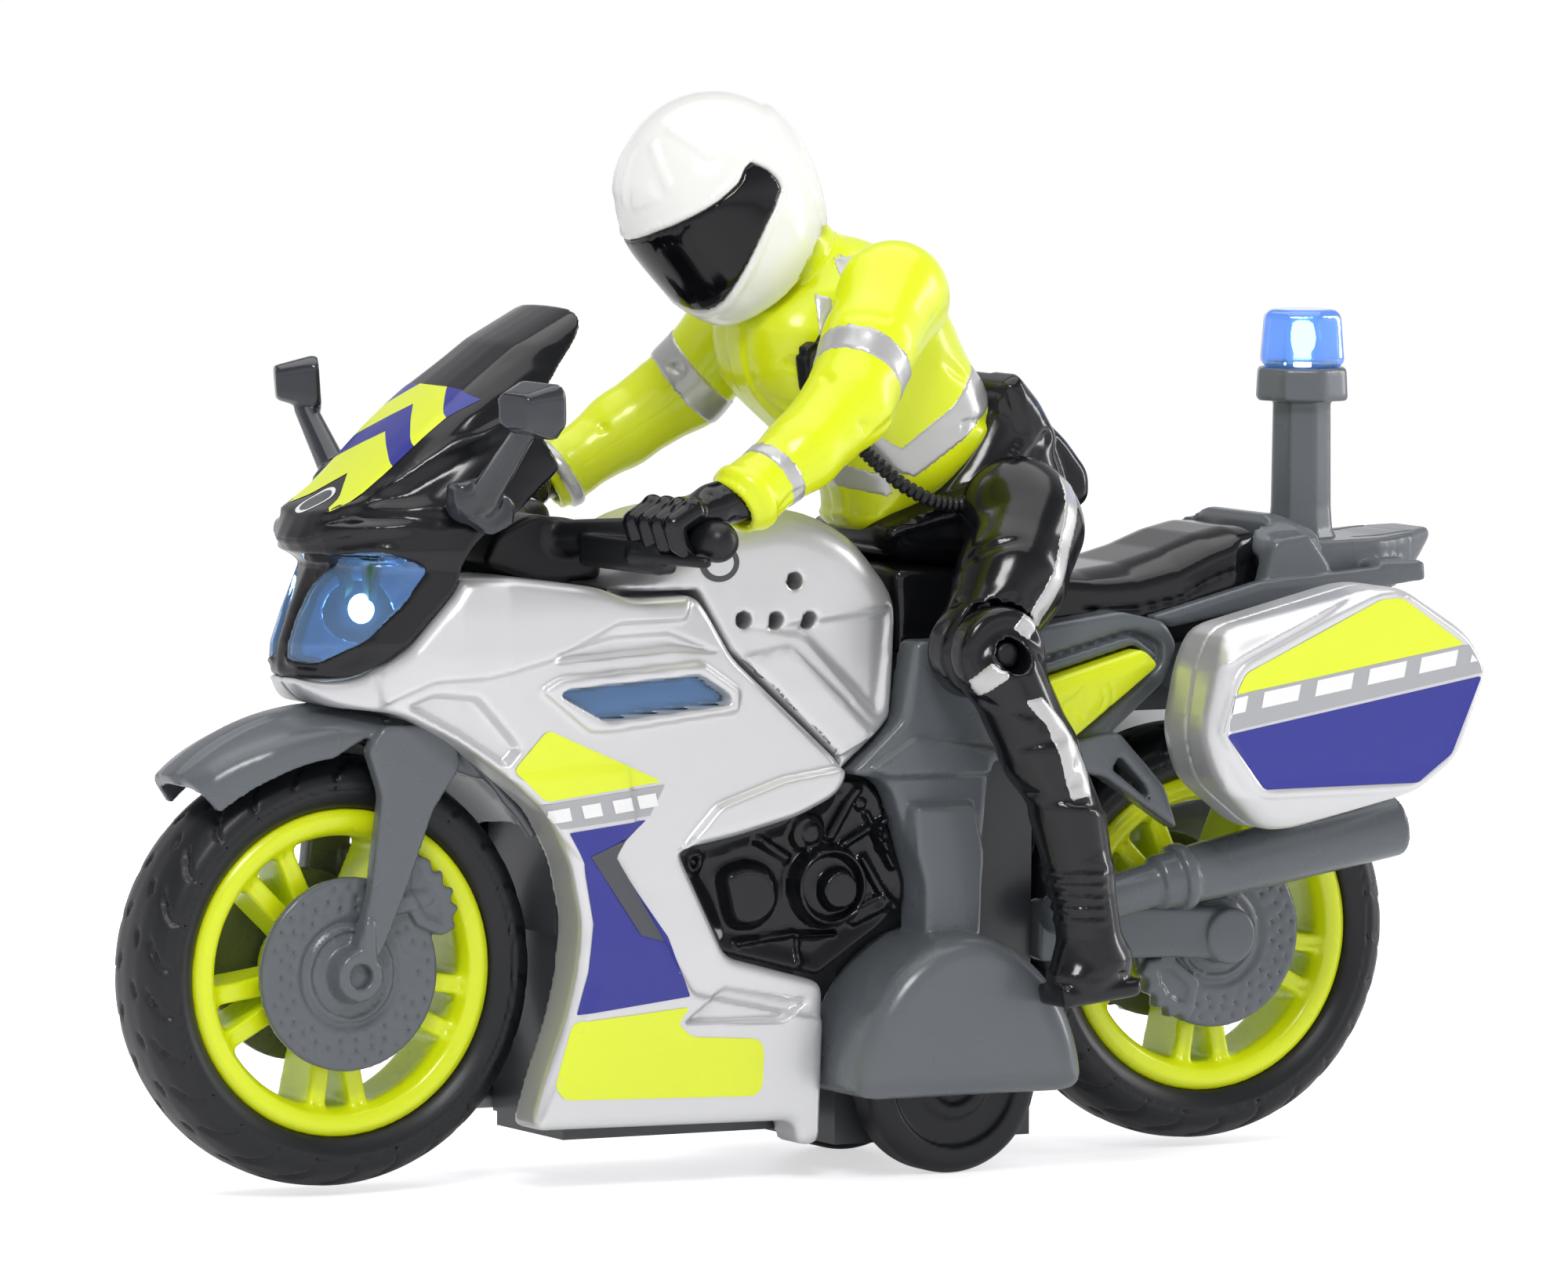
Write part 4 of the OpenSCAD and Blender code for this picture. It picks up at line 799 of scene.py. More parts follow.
g = Grid((43, -16.2, 63), (92.4, 16.2, 80.6), 0.45)
A = np.abs(g.Y)
wt = np.interp(g.X, [60, 72, 80, 86, 91.6], [10.2, 10.2, 9.4, 7.6, 3.4])
plate = rmax(rmax(side(g, [(63.6, 66), (63.6, 75), (69, 76.2), (82, 76.4), (90.6, 77.3), (91.2, 76),
    (88.4, 73.6), (81, 68.4), (70, 66)], 0.8), A - wt, 0.9), g.X - 91.2, 0.4)
plate = (plate + 0.4 * step(meet(np.abs(A - 5.4) - 0.25, 78.5 - g.X, g.X - 87), 0.2)
    + 0.4 * step(meet(np.abs(g.X - 86.4) - 0.25, A - 5.6), 0.2))
rails = rmax(side(g, [(44, 67.8), (47, 66.4), (60, 68.6), (84, 71.4), (83.4, 73.6), (60, 71.8)], 0.5),
    np.abs(A - 13.4) - 1.3, 0.5)
cross = rmax(boxd(g.X - 80.5, g.Y, g.Z - 72.5, 3.4, 14.6, 1.3, 0.6), A - 14.6, 0.4)
back = rmax(side(g, [(60.8, 75.4), (62.2, 79.2), (66, 79.9), (70.6, 77.6), (71, 74), (64, 73)], 1.1), A
    - np.interp(g.Z, [73, 77, 80], [12.4, 11.2, 8.0]), 1.5)
back = meet(back, -rmax(A - 9.4, g.X - 64.2, 0.8))
drop = rmax(side(g, [(62.4, 77), (67.6, 77.6), (71, 73), (69.4, 70.4), (60.2, 69.6), (61, 72)], 1.1),
    np.abs(A - 12.2) - 1.7, 0.9)
D = join(plate, rails, cross, smin(back, drop, 1.0))
D = meet(D, -meet(A - 8.2, g.Z - 74.4, 65 - g.X, g.X - 83))
solid("tail_and_grab_rail", D, g, GREY, "bike", ("tail_plate",))

g = Grid((67.2, -7, 75), (81, 7, 106), 0.33)
X, Y2 = g.X - 74.1, g.Y
a = np.degrees(np.arctan2(Y2, X))
rad = np.sqrt(X ** 2 + Y2 ** 2)
octo = rad * np.cos(np.radians((a + 22.5 + 28) % 45 - 22.5))
hexa = -smin(-octo, 0.55 - rad, 0.5)
mast = meet(hexa - np.interp(g.Z, [75, 76, 77.4, 80, 93, 93.8, 94.6], [5.6, 4.6, 3.95, 3.75, 3.6, 3.9,
    5.2]), 75.2 - g.Z, g.Z - 94.4)
coll = rmax(hexa - np.interp(g.Z, [93.4, 97.6], [5.75, 5.55]), np.abs(g.Z - 95.5) - 2.1, 0.5)
solid("beacon_mast_post", join(mast, coll), g, GREY, "bike", ("beacon_mast",))
lens = rmax(hexa - np.interp(g.Z, [97.6, 105], [5.35, 4.75]), np.abs(g.Z - 101.25) - 3.65, 1.2)
solid("beacon_lens_dome", meet(lens, -(lens + 0.9)), g, BEACON, "bike", ("beacon_lens",))
solid("beacon_lit_core", join(ellipsoid(g, (74.1, 0, 101.4), (1.9, 1.9, 2.3)),
    meet(rad - 1.1, 97.5 - g.Z, g.Z - 101)), g, GLOW)

# ---------------------------------------------------------------- handlebar and mirrors
g = Grid((-47.5, -33.4, 72.5), (-19, 0.4, 84.6), 0.36)
x, y, z = g.X, g.Y, g.Z
D = rmax(pdist(x, z, rp([(-45.4, 76.2), (-43.6, 80.2), (-38.6, 82.4), (-33, 81.4), (-29.4, 78.4),
    (-29.2, 74.2), (-38, 73.6)], 1.2)), np.abs(y) - 8.2, 0.9)
D = smin(D, capsule(g, (-35, -7, 79.4), (-28.6, -15.6, 80.1), 2.1), 1.0)
lx, ly, lz = local(g, (-30.6, -17.4, 77.9), (4, -10, -0.5), (0, 0, 1))
D = smin(D, boxd(lx, ly, lz, 6.6, 1.9, 2.0, 0.8), 0.6)
D = join(D, capsule(g, (-27.6, -14, 80.3), (-24.4, -27.0, 79.9), 2.2), capsule(g, (-24.6, -26.6, 79.9),
    (-24.1, -28.3, 79.9), 2.55))
D = D + 0.25 * step(np.abs(g.Y + 25.6) - 0.25, 0.2)
D = join(D, capsule(g, (-31.5, -20, 77.9), (-26.4, -29.6, 77.5), 0.8, 0.7),
    boxd(x + 36.5, y, z - 74, 3.6, 4, 5, 0.8))
D = meet(D, 72.7 - z)
bar = solid("handlebar_left_half", D, g, BLACKM, "bike", ("handlebar",))[0]
put_mirrored("handlebar_right_half", bar.data, BLACKM, "bike", ("handlebar",))

g = Grid((-57, -37, 79.5), (-44.5, -15.6, 102), 0.36)
HEAD = rp([(-4, -2.4), (-4, 2.6), (-2.4, 3.6), (3.2, 3.3), (4, 2.2), (3.8, -1.6), (2.2, -3.4),
    (-2.2, -3.4)], 0.5)
lx, ly, lz = local(g, (-50.6, -31, 96.3), (0.39, -0.92, 0), (-0.08, 0.0, 1))
tp = 1 - 0.085 * np.clip(1.0 - ly, 0, 6)
head = rmax(pdist(lx / tp, (lz - 0.1 * (1 - ly)) / tp, HEAD) * 0.9, np.abs(ly + 0.9) - 2.7, 0.3)
head = meet(head, -meet(pdist(lx, lz, HEAD) + 0.9, 1.35 - ly))
D = join(head, capsule(g, (-51.2, -29.4, 93.4), (-51.4, -20.5, 86), 1.4, 1.9))
foot = rmax(side(g, [(-54.8, 87.2), (-54.6, 84.2), (-50, 80.6), (-46.8, 82), (-46.6, 84.8),
    (-50.4, 87.4)], 0.9), np.abs(g.Y + 17.6) - 1.7, 0.7)
D = smin(D, foot, 1.6)
D = smin(D, capsule(g, (-51.4, -19, 85.2), (-52.4, -16.6, 84.4), 2.2), 1.0)
solid("mirror_left_shell", D, g, MIRROR, "bike", ("mirror_left",), both=True)
gm = Grid((-57, -37, 90), (-44.5, -25, 101.5), 0.3)
lx, ly, lz = local(gm, (-50.6, -31, 96.3), (0.39, -0.92, 0), (-0.08, 0.0, 1))
solid("mirror_left_glass", meet(pdist(lx, lz, HEAD) + 1.0, np.abs(ly - 1.4) - 0.2), gm, MIRROR_GLASS,
    "bike", both=True)

# ---------------------------------------------------------------- rider: helmet
def helmet():
    n, e1 = (-0.698, 0, 0.716), (-0.716, 0, -0.698)
    a = math.radians(26)
    f = (e1[0] * math.cos(a), -math.sin(a), e1[2] * math.cos(a))
    g = Grid((-26.5, -15.5, 102), (8, 15.5, 134.6), 0.42)
    x, y, z = local(g, (-9.7, 0, 120), f, n)
    head = SimpleNamespace(X=x, Y=y, Z=z)
    D = smin(ellipsoid(head, (-0.3, 0, 0.6), (12.9, 11.8, 12.4)), ellipsoid(head, (1.8, 0, -6.8),
        (11.2, 9.6, 8.6)), 4.0)
    az = np.degrees(np.arctan2(y, x))
    rad = np.sqrt(x ** 2 + y ** 2)
    el = np.degrees(np.arctan2(z, rad))
    aa = np.abs(az)
    hi = [(0, 23.5), (20, 22), (45, 19), (62, 18.5), (73, 21.5), (79, 20.5), (83, 10), (84, 0), (82, -6)]
    lo = [(70, -10), (58, -13), (44, -18), (26, -24), (10, -28.5), (0, -29.5)]
    V = pdist(aa, el, hi + lo + [(-20, -29.5), (-20, 23.5)]) * 0.215
    D = D - 0.28 * step(np.abs(V - 0.4) - 0.45, 0.35)
    back = step(meet(-(aa - 104) * 0.2, z - 4.5), 0.8)
    D = D - 0.4 * back
    for az0 in (24, 62):
        ridge = np.abs((aa - az0) * 0.2 * np.cos(np.radians(np.clip(el, 0, 80))))
        D = D - 0.32 * step(meet(ridge - 0.9, meet(38 - el, el - 74) * 0.2), 0.9)
    D = D - 0.35 * step(meet(aa * 0.2 - 3.0 + 0.05 * (el - 40), meet(36 - el, el - 52) * 0.2), 0.8)
    bottom = -12.9 - z + 0.16 * (x - 6)
    shell = rmax(D, bottom, 1.1)
    hole = rmax(rad - 8.6 - 0.04 * (x + 2), z + 2.2, 1)
    shell = meet(shell, -hole, -meet(V + 0.12, -(D + 0.7)))
    solid("helmet_shell", shell, g, HELMET, "head", ("rider_helmet",))
    solid("helmet_visor", rmax(meet(D - 0.12, -(D + 1.1)), V + 0.16, 0.25), g, VISOR, "head")
    solid("helmet_lining", meet(rad - 8.5, np.abs(z + 6.2) - 4.2, -(rad - 7.2)), g, BLACKM, "head")
helmet()

# ---------------------------------------------------------------- rider: jacket
P_TORSO = [(7.6, 79.0), (12, 79.2), (17, 80.8), (22.4, 84.0), (28, 89.8), (25.8, 96.8), (23.0, 100.4),
    (20.9, 104.4), (19.0, 108.6), (16.1, 111.8), (12.6, 114.2), (8, 115.6), (2, 115.2), (-3.6, 110.6),
    (-7.6, 105.6), (-7.0, 98.6), (-5.2, 95.8), (-1.9, 92.8), (5.4, 86.6), (7.6, 83.4)]
g = Grid((-10.5, -13.6, 77.4), (30.5, 13.6, 120.5), 0.42)
A = np.abs(g.Y)
wt = np.interp(g.Z, [78, 81, 86, 92, 98, 104, 109, 113, 117],
    [9.6, 9.9, 9.9, 9.9, 10.4, 10.8, 10, 7.4, 5])
D = rmax(side(g, P_TORSO, 3.2), A - wt, 7.6)
neck = capsule(g, (4, 0, 108.6), (-3.6, 0, 115.6), 6.9, 6.7)
D = smin(D, meet(neck, (-0.698 * (g.X + 3.6) + 0.716 * (g.Z - 115.6)) - 0.6), 1.4)
D = D + 0.35 * step(np.abs(-0.698 * (g.X - 1) + 0.716 * (g.Z - 111.4)) - 0.35, 0.3) * (neck < 1.2)
D = creases(folded(g, 1), D, (((-4, 9, 100), (3, 11.4, 97.6), 1.1, 0.5), ((-3, 9, 96.4), (5, 11.4, 95),
    1.0, 0.4), ((5, 11.2, 88), (13, 11.2, 84.2), 1.0, 0.4), ((17, 11, 100), (22, 7, 96), 1.2, 0.5),
    ((20, 10, 92), (25, 8, 92.6), 1.1, 0.45), ((-1, 5.6, 110), (-5.6, 3.6, 103), 0.9, 0.4),
    ((14, 8, 112.6), (18.6, 5, 107), 1.1, 0.35), ((-5.6, 4, 98.4), (2, 8, 91), 1.1, 0.4)))
flap = np.abs(g.Y + 1.2) - 2.3
D = D - 0.5 * step(meet(flap, 80 - g.Z, g.Z - 107), 0.6) * (g.X < 10)
D = (D + 0.4 * step(capsule(g, (12.4, -11.6, 102.4), (14.4, -12, 98.2), 0.28), 0.28)
    + 0.4 * step(capsule(g, (14.4, -12, 98.2), (24.2, -11, 87.8), 0.28), 0.28))
hem = side(g, [(6, 81.4), (12, 80.9), (16.8, 82.4), (21.8, 85.4), (27.2, 91), (33, 88),
    (20, 76), (6, 77)])
D = D - 0.35 * step(hem, 0.5) * (g.X < 26)
solid("jacket_body", D, g, JACKET, "bike", ("rider_torso",))
P_V = [(4.6, 93.6), (11.2, 89.4), (17.9, 94.3), (22.4, 99.4), (26.4, 95.6), (20.4, 90.4), (13.2, 85.6),
    (8.1, 87.1), (3.0, 91.5)]
P_C = [(-0.8, 108.6), (1.5, 108.2), (0.9, 101.6), (-1.1, 102)]
band = join(meet(side(g, P_V), 5.5 - A), meet(side(g, P_C), 3.5 - A),
    meet(pdist(g.X, A, [(3.2, 6.2), (10.5, 4.8), (10.5, 7.2), (3.2, 8.6)]), 110 - g.Z),
    meet(side(g, [(5.2, 87.4), (9.4, 86.2), (12.2, 84.8), (10.2, 83.2), (4.4, 84.8)]), A - 8.6))
solid("jacket_reflective_bands", tape(D, band, 0.10), g, REFLEX)

# radio, moulded hose and belt
g2 = Grid((-6.4, -13, 94.6), (2.6, -6.4, 103.8), 0.26)
lx, ly, lz = local(g2, (-1.7, -9.6, 99.2), (0.5, -0.86, -0.1), (-0.45, 0, 1))
rad_ = join(boxd(lx, ly, lz, 1.0, 1.5, 2.5, 0.5), boxd(lx - 0.3, ly + 0.1, lz - 2.9, 0.8, 1.1, 0.7,
    0.35), capsule(g2, (-1.4, -10.4, 101.6), (-0.6, -10.8, 103.2), 0.5))
rad_ = (rad_ + 0.2 * step(meet(np.abs(lz - 0.4) - 0.15, np.abs(ly) - 1.2), 0.12)
    + 0.2 * step(meet(np.abs(lz + 0.6) - 0.15, np.abs(ly) - 1.2), 0.12))
solid("chest_radio", rad_, g2, BLACKM)
def hose():
    key = np.array([(2.6, -9.6, 92.6), (4.2, -10.3, 90.6), (6.6, -10.7, 88.2), (10.4, -11.1, 85.0),
        (14.6, -11.4, 82.8), (18.4, -11.4, 82.2), (22.0, -11.2, 83.4), (25.4, -10.4, 86.4),
        (27.8, -9.4, 89.4)])
    t = np.linspace(0, len(key) - 1, 150)
    P = np.stack([np.interp(t, np.arange(len(key)), key[:, i]) for i in range(3)], 1)
    k = np.ones(9) / 9
    Q = np.stack([np.convolve(np.pad(P[:, i], 4, mode="edge"), k, "valid") for i in range(3)], 1)
    rr = [0.98 if (i // 2) % 2 else 0.74 for i in range(len(Q))]
    tube("moulded_hose", [tuple(q) for q in Q], rr, BLACKM)
hose()

g = Grid((8.6, -12.2, 72.6), (41.6, 12.2, 99), 0.42)
A = np.abs(g.Y)
P_PEL = [(8.8, 80.2), (9.6, 76.8), (13, 74.6), (29, 73.6), (34.6, 77.4), (36.4, 83), (34, 89.6),
    (29, 95), (25, 96.4), (22, 90), (17, 83.6), (12, 81.6)]
D = rmax(side(g, P_PEL, 2.5), A - np.interp(g.Z, [73, 78, 86, 96], [8.8, 10.2, 10.2, 9.4]), 4.2)
D = meet(D, 64 - g.Z)
P_BELT = [(22.6, 85.4), (27.6, 90.4), (25.2, 96.9), (27.6, 98.2), (31.4, 94.6), (34.4, 90.4),
    (33.6, 86.6), (27.6, 82.2), (21.6, 80.6), (14.6, 79.2), (9.6, 77.8), (9.2, 79.6), (15.6, 81.8)]
belt = rmax(side(g, P_BELT, 0.8), A - np.interp(g.X, [9, 20, 28, 35], [10.4, 11.4, 10.6, 8.4]), 1.6)
belt = (belt + 0.35 * step(side(g, [(12, 79.4), (21, 81.6), (29, 86), (33, 90), (32, 91.4), (28, 88),
    (20.6, 83.2), (12, 80.6)]) , 0.4) * (A > 8))
pouch = rmax(side(g, [(31.4, 94.2), (36.6, 89.6), (39.8, 85.6), (39.9, 82), (36, 79.6), (33, 84.6),
    (30.4, 88.6), (29.2, 91.6)], 1.2), A - 7.2, 1.6)
pouch = pouch + 0.4 * step(np.abs(A - 3.4) - 0.22, 0.25) * (g.X > 32)
pouch2 = rmax(side(g, [(24.8, 95), (27.6, 98.4), (29.6, 96.4), (27.6, 90.6), (26.4, 91)], 0.6),
    np.abs(A - 6.2) - 3.2, 0.8)
D = smin(D, join(belt, pouch, pouch2), 0.6)
solid("trousers_seat_and_belt", D, g, BLACK, "bike", ("rider_pelvis",))

# ---------------------------------------------------------------- rider: arms
g = Grid((-23.2, -31, 78.6), (16.6, -5.2, 116), 0.42)
pts = [((8.5, -12.3, 108.0), 6.7), ((2.4, -17.8, 102.6), 5.9), ((-2.4, -21.2, 95.8), 5.5),
    ((-10.2, -23.8, 90.2), 4.7), ((-17.2, -24.5, 85.7), 3.95), ((-19.7, -24.7, 84.1), 3.9)]
D = ellipsoid(g, (8.5, -12.3, 108), (6.9, 6.0, 6.9))
for (a, ra), (b, rb) in zip(pts[:-1], pts[1:]):
    D = smin(D, capsule(g, a, b, ra, rb), 1.2)
def adist(c, d):
    d = np.array(d, float)
    d /= np.linalg.norm(d)
    return ((g.X - c[0]) * d[0] + (g.Y - c[1]) * d[1] + (g.Z - c[2]) * d[2])
D = creases(g, D, (((-7.6, -25, 96), (-3, -27, 93), 1.0, 0.5), ((-5.8, -17, 98), (-6.6, -24, 99), 1.1,
    0.5), ((-1.4, -26.6, 92), (2.8, -24, 95), 1.0, 0.45), ((-14.4, -20.4, 90.6), (-13.6, -27, 90.8), 0.9,
    0.35), ((2, -22.6, 106), (-2.6, -20, 106.8), 1.1, 0.3), ((-16.4, -27.4, 83.6), (-13, -27.6, 86), 0.8,
    0.35), ((5, -19, 100), (7.6, -16, 102), 1.0, 0.4)))
fore = (-16.6, -3.6, -11.4)
D = D - 0.5 * step(np.abs(adist((-18.6, -24.6, 84.9), fore)) - 1.2, 0.7)
D = meet(D, adist((-20.3, -24.7, 83.7), fore), -rmax(capsule(g, (-19.4, -24.6, 84.4), (-26, -25, 79.6),
    2.9), -adist((-19.4, -24.6, 84.3), fore), 0.3))
solid("sleeve_left", D, g, JACKET, "arm_left", ("rider_arm_left",), both=True)
b1 = np.abs(adist((0.2, -19.0, 99.4), (-11.1, -8.5, -12.2))) - 1.75
b2 = np.abs(adist((-14.7, -23.8, 87.6), fore)) - 1.0
solid("sleeve_left_bands", tape(D, join(b1, b2)), g, REFLEX, "arm_left")
b1 = np.abs(adist((-2.0, -20.6, 96.9), (-11.1, -8.5, -12.2))) - 2.0
b2 = np.abs(adist((-18.5, -24.6, 84.9), fore)) - 1.0
m2 = field_mesh("sleeve_right_bands", tape(D, join(b1, b2)), g)
mirror_y(m2)
put("sleeve_right_bands", m2, REFLEX, "arm_right")

g = Grid((-33.6, -29.6, 74.8), (-17.6, -18.4, 88), 0.3)
D = capsule(g, (-18.6, -24.6, 84.9), (-22.6, -24.4, 84.1), 2.9, 2.7)
lx, ly, lz = local(g, (-25.2, -23.6, 83.1), (-1, 0, -0.16), (0, 0, 1))
D = smin(D, boxd(lx, ly, lz, 3.8, 3.9, 1.9, 1.7), 1.6)
for i, yy0 in enumerate((-19.2, -21.8, -24.4, -26.9)):
    xo = -0.18 * (yy0 + 24)
    fin = capsule(g, (-27.2 + xo, yy0, 83.5), (-29.9 + xo, yy0, 82.0), 1.5, 1.42)
    fin = join(fin, capsule(g, (-29.9 + xo, yy0, 82.0), (-29.2 + xo, yy0, 79.7), 1.42, 1.3),
        capsule(g, (-29.2 + xo, yy0, 79.7), (-27.9 + xo, yy0, 78.4), 1.3, 1.0))
    D = smin(D, fin, 0.45)
    D = smin(D, ellipsoid(g, (-27.4 + xo, yy0, 84.3), (1.1, 0.95, 0.9)), 0.5)
D = smin(D, capsule(g, (-23.4, -20.6, 82.6), (-26.6, -18.9, 80.4), 1.35, 1.1), 0.7)
grip = capsule(g, (-27.6, -14, 80.3), (-21.4, -31.6, 79.7), 2.36)
D = meet(D, -grip)
for a, b in (((-22.6, -22, 85.6), (-22.2, -26.4, 85.8)), ((-24.4, -21, 85.2), (-24.2, -26.6, 85.4))):
    D = D + 0.3 * step(capsule(g, a, b, 0.5), 0.5)
solid("glove_left", D, g, BLACK, "arm_left", both=True)

# ---------------------------------------------------------------- rider: legs
g = Grid((7.6, -30.4, 57), (35.6, -7.6, 90), 0.42)
D = ellipsoid(g, (26.2, -12.4, 80.6), (7.6, 6.6, 7.6))
D = smin(D, capsule(g, (26.4, -14.6, 79.2), (21.4, -19.4, 73.6), 7.1, 6.7), 1.5)
D = smin(D, capsule(g, (21.4, -19.4, 73.6), (16.4, -22.0, 67.2), 6.7, 5.6), 1.5)
knee_r = hyp(g, KNEE_X, KNEE_Z)
D = smin(D, rmax(knee_r - 5.9, np.abs(g.Y + 21.4) - 2.9, 1.6), 0.8)
D = meet(D, np.where(knee_r < 6.3, -24.3 - g.Y, -9).astype(np.float32))
D = creases(g, D, (((14, -20, 76), (20, -24.6, 79), 1.2, 0.5), ((17, -26, 77.4), (25, -22, 84), 1.0,
    0.35), ((12.6, -22, 71), (17.6, -26.6, 71.6), 1.1, 0.45), ((26, -21, 72.6), (22, -25.4, 69.6), 1.1,
    0.4), ((30, -18, 75), (32.6, -14, 78.6), 1.2, 0.4)))
solid("thigh_left_leather", D, g, BLACK, "thigh_left", ("rider_thigh_left",), both=True)
P_TS = [(29.6, 86), (32.4, 86), (29.9, 80.2), (26.8, 75.2), (23.2, 70.0), (19.4, 65), (17.0, 64.6),
    (20.6, 70.8), (24.3, 76), (27.4, 80.8)]
solid("thigh_left_stripe", tape(D, meet(side(g, P_TS), g.Y + 16)), g, REFLEX, "thigh_left", both=True)
solid("knee_pin_left", rmax(knee_r - 1.6, np.abs(g.Y + 27.2) - 2.3, 0.4), g, BLACKM,
    "thigh_left", both=True)

g = Grid((7.6, -35.4, 20.4), (34.4, -23.4, 72), 0.42)
kr = hyp(g, KNEE_X, KNEE_Z)
D = rmax(kr - 5.9, np.abs(g.Y + 26.8) - 2.35, 1.4)
D = smin(D, capsule(g, (16.0, -27.6, 62.5), (20.4, -28.6, 53), 4.9, 4.7), 1.6)
D = smin(D, capsule(g, (20.4, -28.6, 53), (24.6, -29.4, 45), 4.7, 3.9), 1.2)
boot = capsule(g, (23.9, -29.4, 46), (25.6, -29.8, 38), 4.8, 4.1)
boot = rmax(boot, g.Z - 46.6 + 0.2 * (g.X - 24), 0.5)
boot = smin(boot, capsule(g, (25.6, -29.8, 38), (26.8, -30.2, 30), 4.1, 4.0), 1.0)
boot = smin(boot, ellipsoid(g, (27.2, -30.3, 27), (5.3, 4.05, 4.4)), 1.0)
boot = smin(boot, ellipsoid(g, (25.2, -30.6, 25), (4.3, 3.9, 3.0)), 0.8)
boot = (boot - 0.22 * np.sin(g.Z * 2 * math.pi / 1.45) * step(meet(np.abs(g.Z - 35.5) - 4.2,
    g.X - 27.4), 1.2))
sole = rmax(side(g, [(21.2, 24.4), (21.6, 21.7), (32.2, 22.9), (32.6, 25.2)], 0.6),
    np.abs(g.Y + 30.3) - 3.9, 1.2)
boot = smin(boot, sole, 0.3)
boot = boot + 0.3 * step(np.abs(g.Z - (25.6 + 0.1 * (g.X - 27))) - 0.2, 0.2)
D = creases(g, D, (((11, -28, 60), (17, -32.6, 58), 1.1, 0.45), ((14, -31, 53.6), (21, -33.6, 55), 1.0,
    0.4), ((18, -30, 48), (24, -34, 50), 1.0, 0.4), ((25.4, -26, 52), (23, -32.6, 51.6), 1.0, 0.35)))
D = join(D, boot)
D = meet(D, g.Y + 24.45, 2.1 - kr)
solid("shin_left_and_boot", D, g, BLACK, "shin_left", ("rider_shin_left",), both=True)
P_SS = [(15.8, 59.8), (18.6, 60.2), (21.6, 57.2), (25.2, 51.4), (25.6, 47.6), (22.4, 47.2),
    (20.9, 51.4), (18.8, 56.6)]
P_SK = [(12.6, 64.4), (9.4, 61.2), (11.2, 59.4), (14.6, 62.7)]
P_SL = [(16.1, 68.2), (18.3, 66.6), (21.2, 69.8), (19.0, 71.2)]
solid("shin_left_stripe", tape(D, meet(join(side(g, P_SS), side(g, P_SL), side(g, P_SK)), g.Y + 28.4)),
    g, REFLEX, "shin_left", both=True)

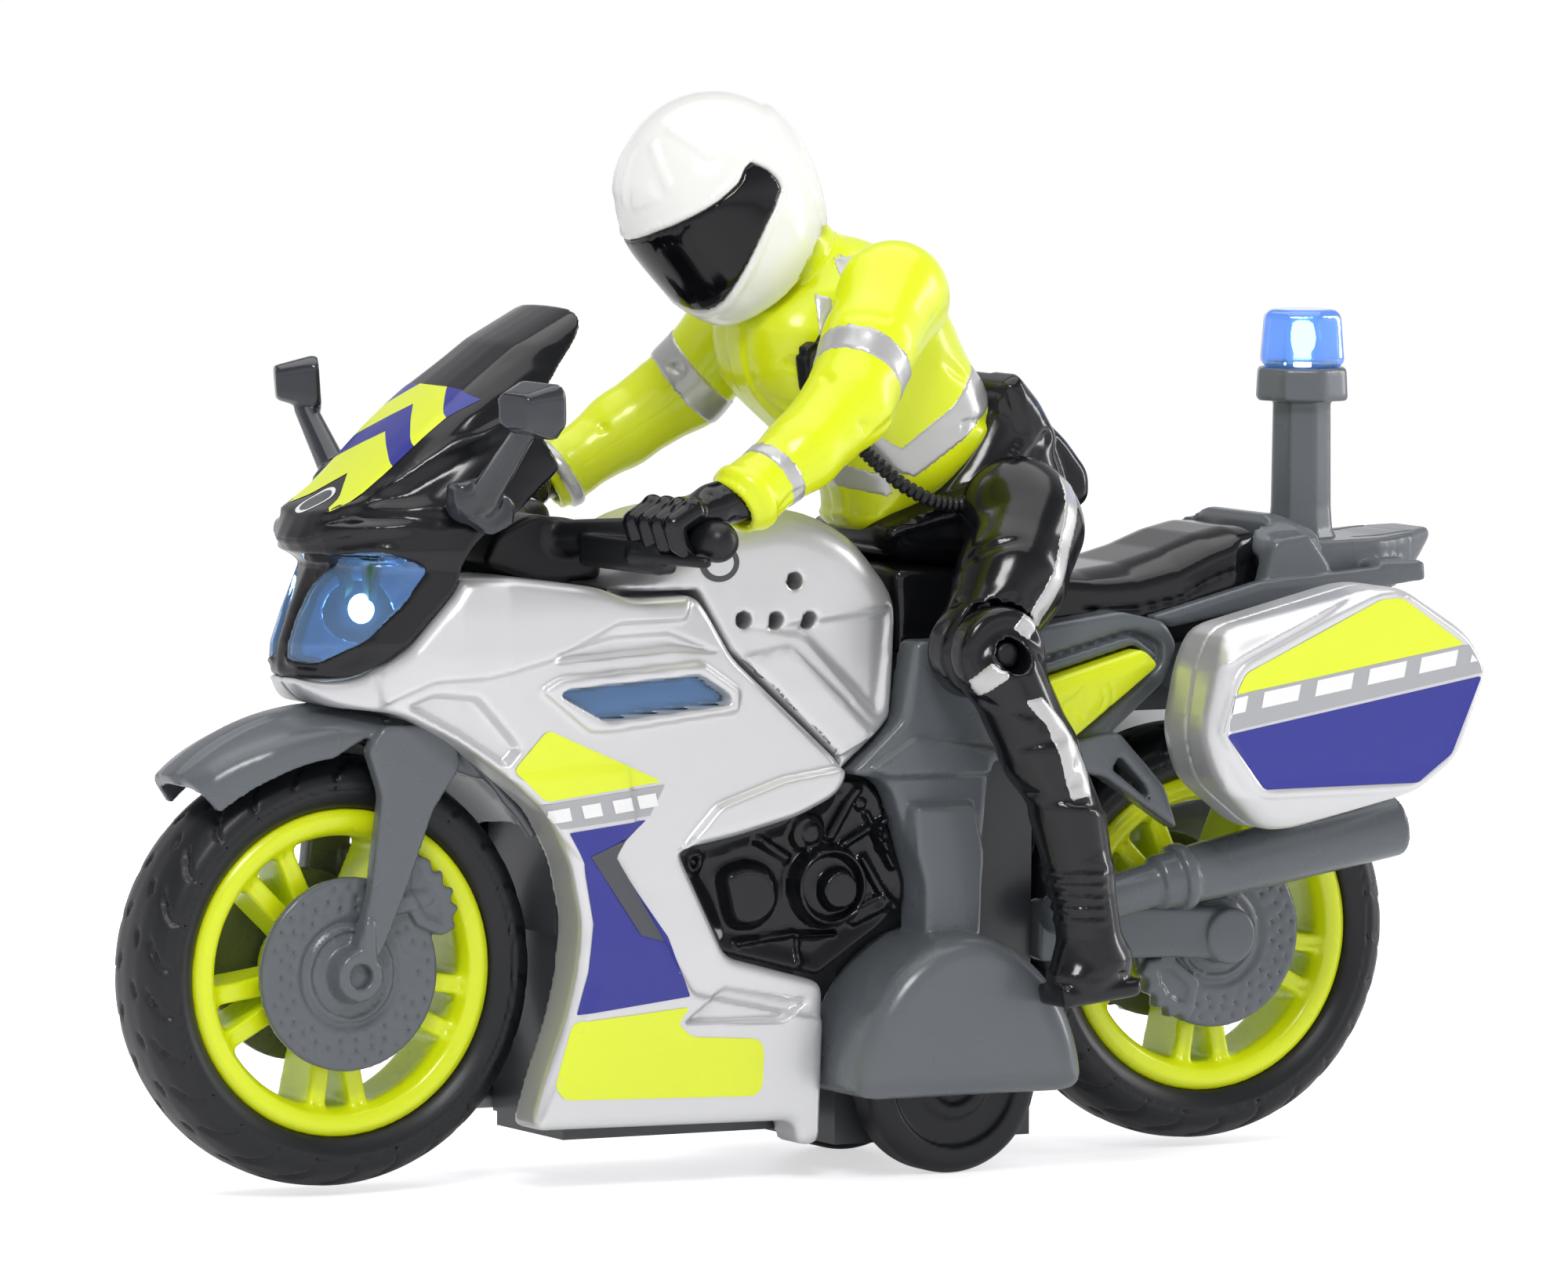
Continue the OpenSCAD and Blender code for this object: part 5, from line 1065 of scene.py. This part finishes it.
# ---------------------------------------------------------------- camera, floor and light
def stage():
    """The photo's camera, a pale floor, a soft studio world and three area lights."""
    az, el, far, f = math.radians(28.271), math.radians(4.425), 1563.8, 16159.6
    d = Vector((math.sin(az) * math.cos(el), math.cos(az) * math.cos(el), -math.sin(el)))
    r = Vector((math.cos(az), -math.sin(az), 0))
    u = r.cross(d)
    q = math.radians(0.408)
    r2 = r * math.cos(q) + u * math.sin(q)
    u2 = u * math.cos(q) - r * math.sin(q)
    cam = bpy.data.cameras.new("camera")
    cam.sensor_width = 36
    cam.lens = f / 2000 * 36
    cam.clip_end = 20
    co = bpy.data.objects.new("camera", cam)
    COL.objects.link(co)
    M = Matrix((r2, u2, -d)).transposed().to_4x4()
    M.translation = (Vector((0.274, 0, 65.336)) - d * far) * S
    co.matrix_world = M
    bpy.context.scene.camera = co

    me = bpy.data.meshes.new("floor")
    me.from_pydata([(-3, -3, 0), (3, -3, 0), (3, 3, 0), (-3, 3, 0)], [], [(0, 1, 2, 3)])
    fl = bpy.data.objects.new("floor", me)
    COL.objects.link(fl)
    m = material("studio_white", (0.93, 0.93, 0.94, 1), 0.42, 0, 0, 0.0, 300, 0.0, glow=0.6)
    me.materials.append(m)
    # the floor's glow is stronger for the camera than for the light that it gives off
    mt = m.node_tree
    lp = mt.nodes.new("ShaderNodeLightPath")
    mu = mt.nodes.new("ShaderNodeMath")
    mu.operation = "MULTIPLY_ADD"
    mu.inputs[1].default_value = 0.52
    mu.inputs[2].default_value = 0.12
    mt.links.new(lp.outputs["Is Camera Ray"], mu.inputs[0])
    shader = next(q for q in mt.nodes if q.type == "BSDF_PRINCIPLED")
    mt.links.new(mu.outputs[0], shader.inputs["Emission Strength"])

    # white for the camera, and for reflections a ramp from a bright horizon to a dim top
    w = bpy.data.worlds.new("world")
    bpy.context.scene.world = w
    w.use_nodes = True
    N, L = w.node_tree.nodes, w.node_tree.links
    bg = N["Background"]
    bg.inputs["Strength"].default_value = 1.0
    tc, sp, cr, lp, mx = (N.new("ShaderNode" + k) for k in ("TexCoord", "SeparateXYZ", "ValToRGB",
        "LightPath", "Mix"))
    mx.data_type = "RGBA"
    L.new(tc.outputs["Generated"], sp.inputs[0])
    L.new(sp.outputs[2], cr.inputs[0])
    L.new(lp.outputs["Is Camera Ray"], mx.inputs[0])
    L.new(cr.outputs[0], mx.inputs[6])
    mx.inputs[7].default_value = (1, 1, 1, 1)
    L.new(mx.outputs[2], bg.inputs["Color"])
    ramp = cr.color_ramp.elements
    for i, (q, v) in enumerate(((0.0, 0.85), (0.12, 1.0), (0.34, 0.5), (0.75, 0.24))):
        e = ramp[0] if i == 0 else ramp[-1] if i == 3 else ramp.new(q)
        e.position = q
        e.color = (v, v, v * 1.02, 1)

    for name, loc, aim, sx, sy, power in (("key", (-0.45, -0.75, 0.85), (0, 0, 0.05), 0.35, 0.25, 5.0),
                                          ("over", (0.05, 0.1, 1.1), (0, 0, 0), 1.3, 1.3, 8.0),
                                          ("side", (0.85, -0.25, 0.3), (0, 0, 0.06), 0.12, 0.5, 2.0)):
        light = bpy.data.lights.new(name, "AREA")
        light.shape = "RECTANGLE"
        light.size, light.size_y, light.energy = sx, sy, power
        o = bpy.data.objects.new(name, light)
        COL.objects.link(o)
        o.location = loc
        o.rotation_euler = (Vector(aim) - Vector(loc)).to_track_quat("-Z", "Y").to_euler()
    vs = bpy.context.scene.view_settings
    vs.view_transform = "Standard"
    vs.look = "None"
    vs.exposure = 0.0
stage()
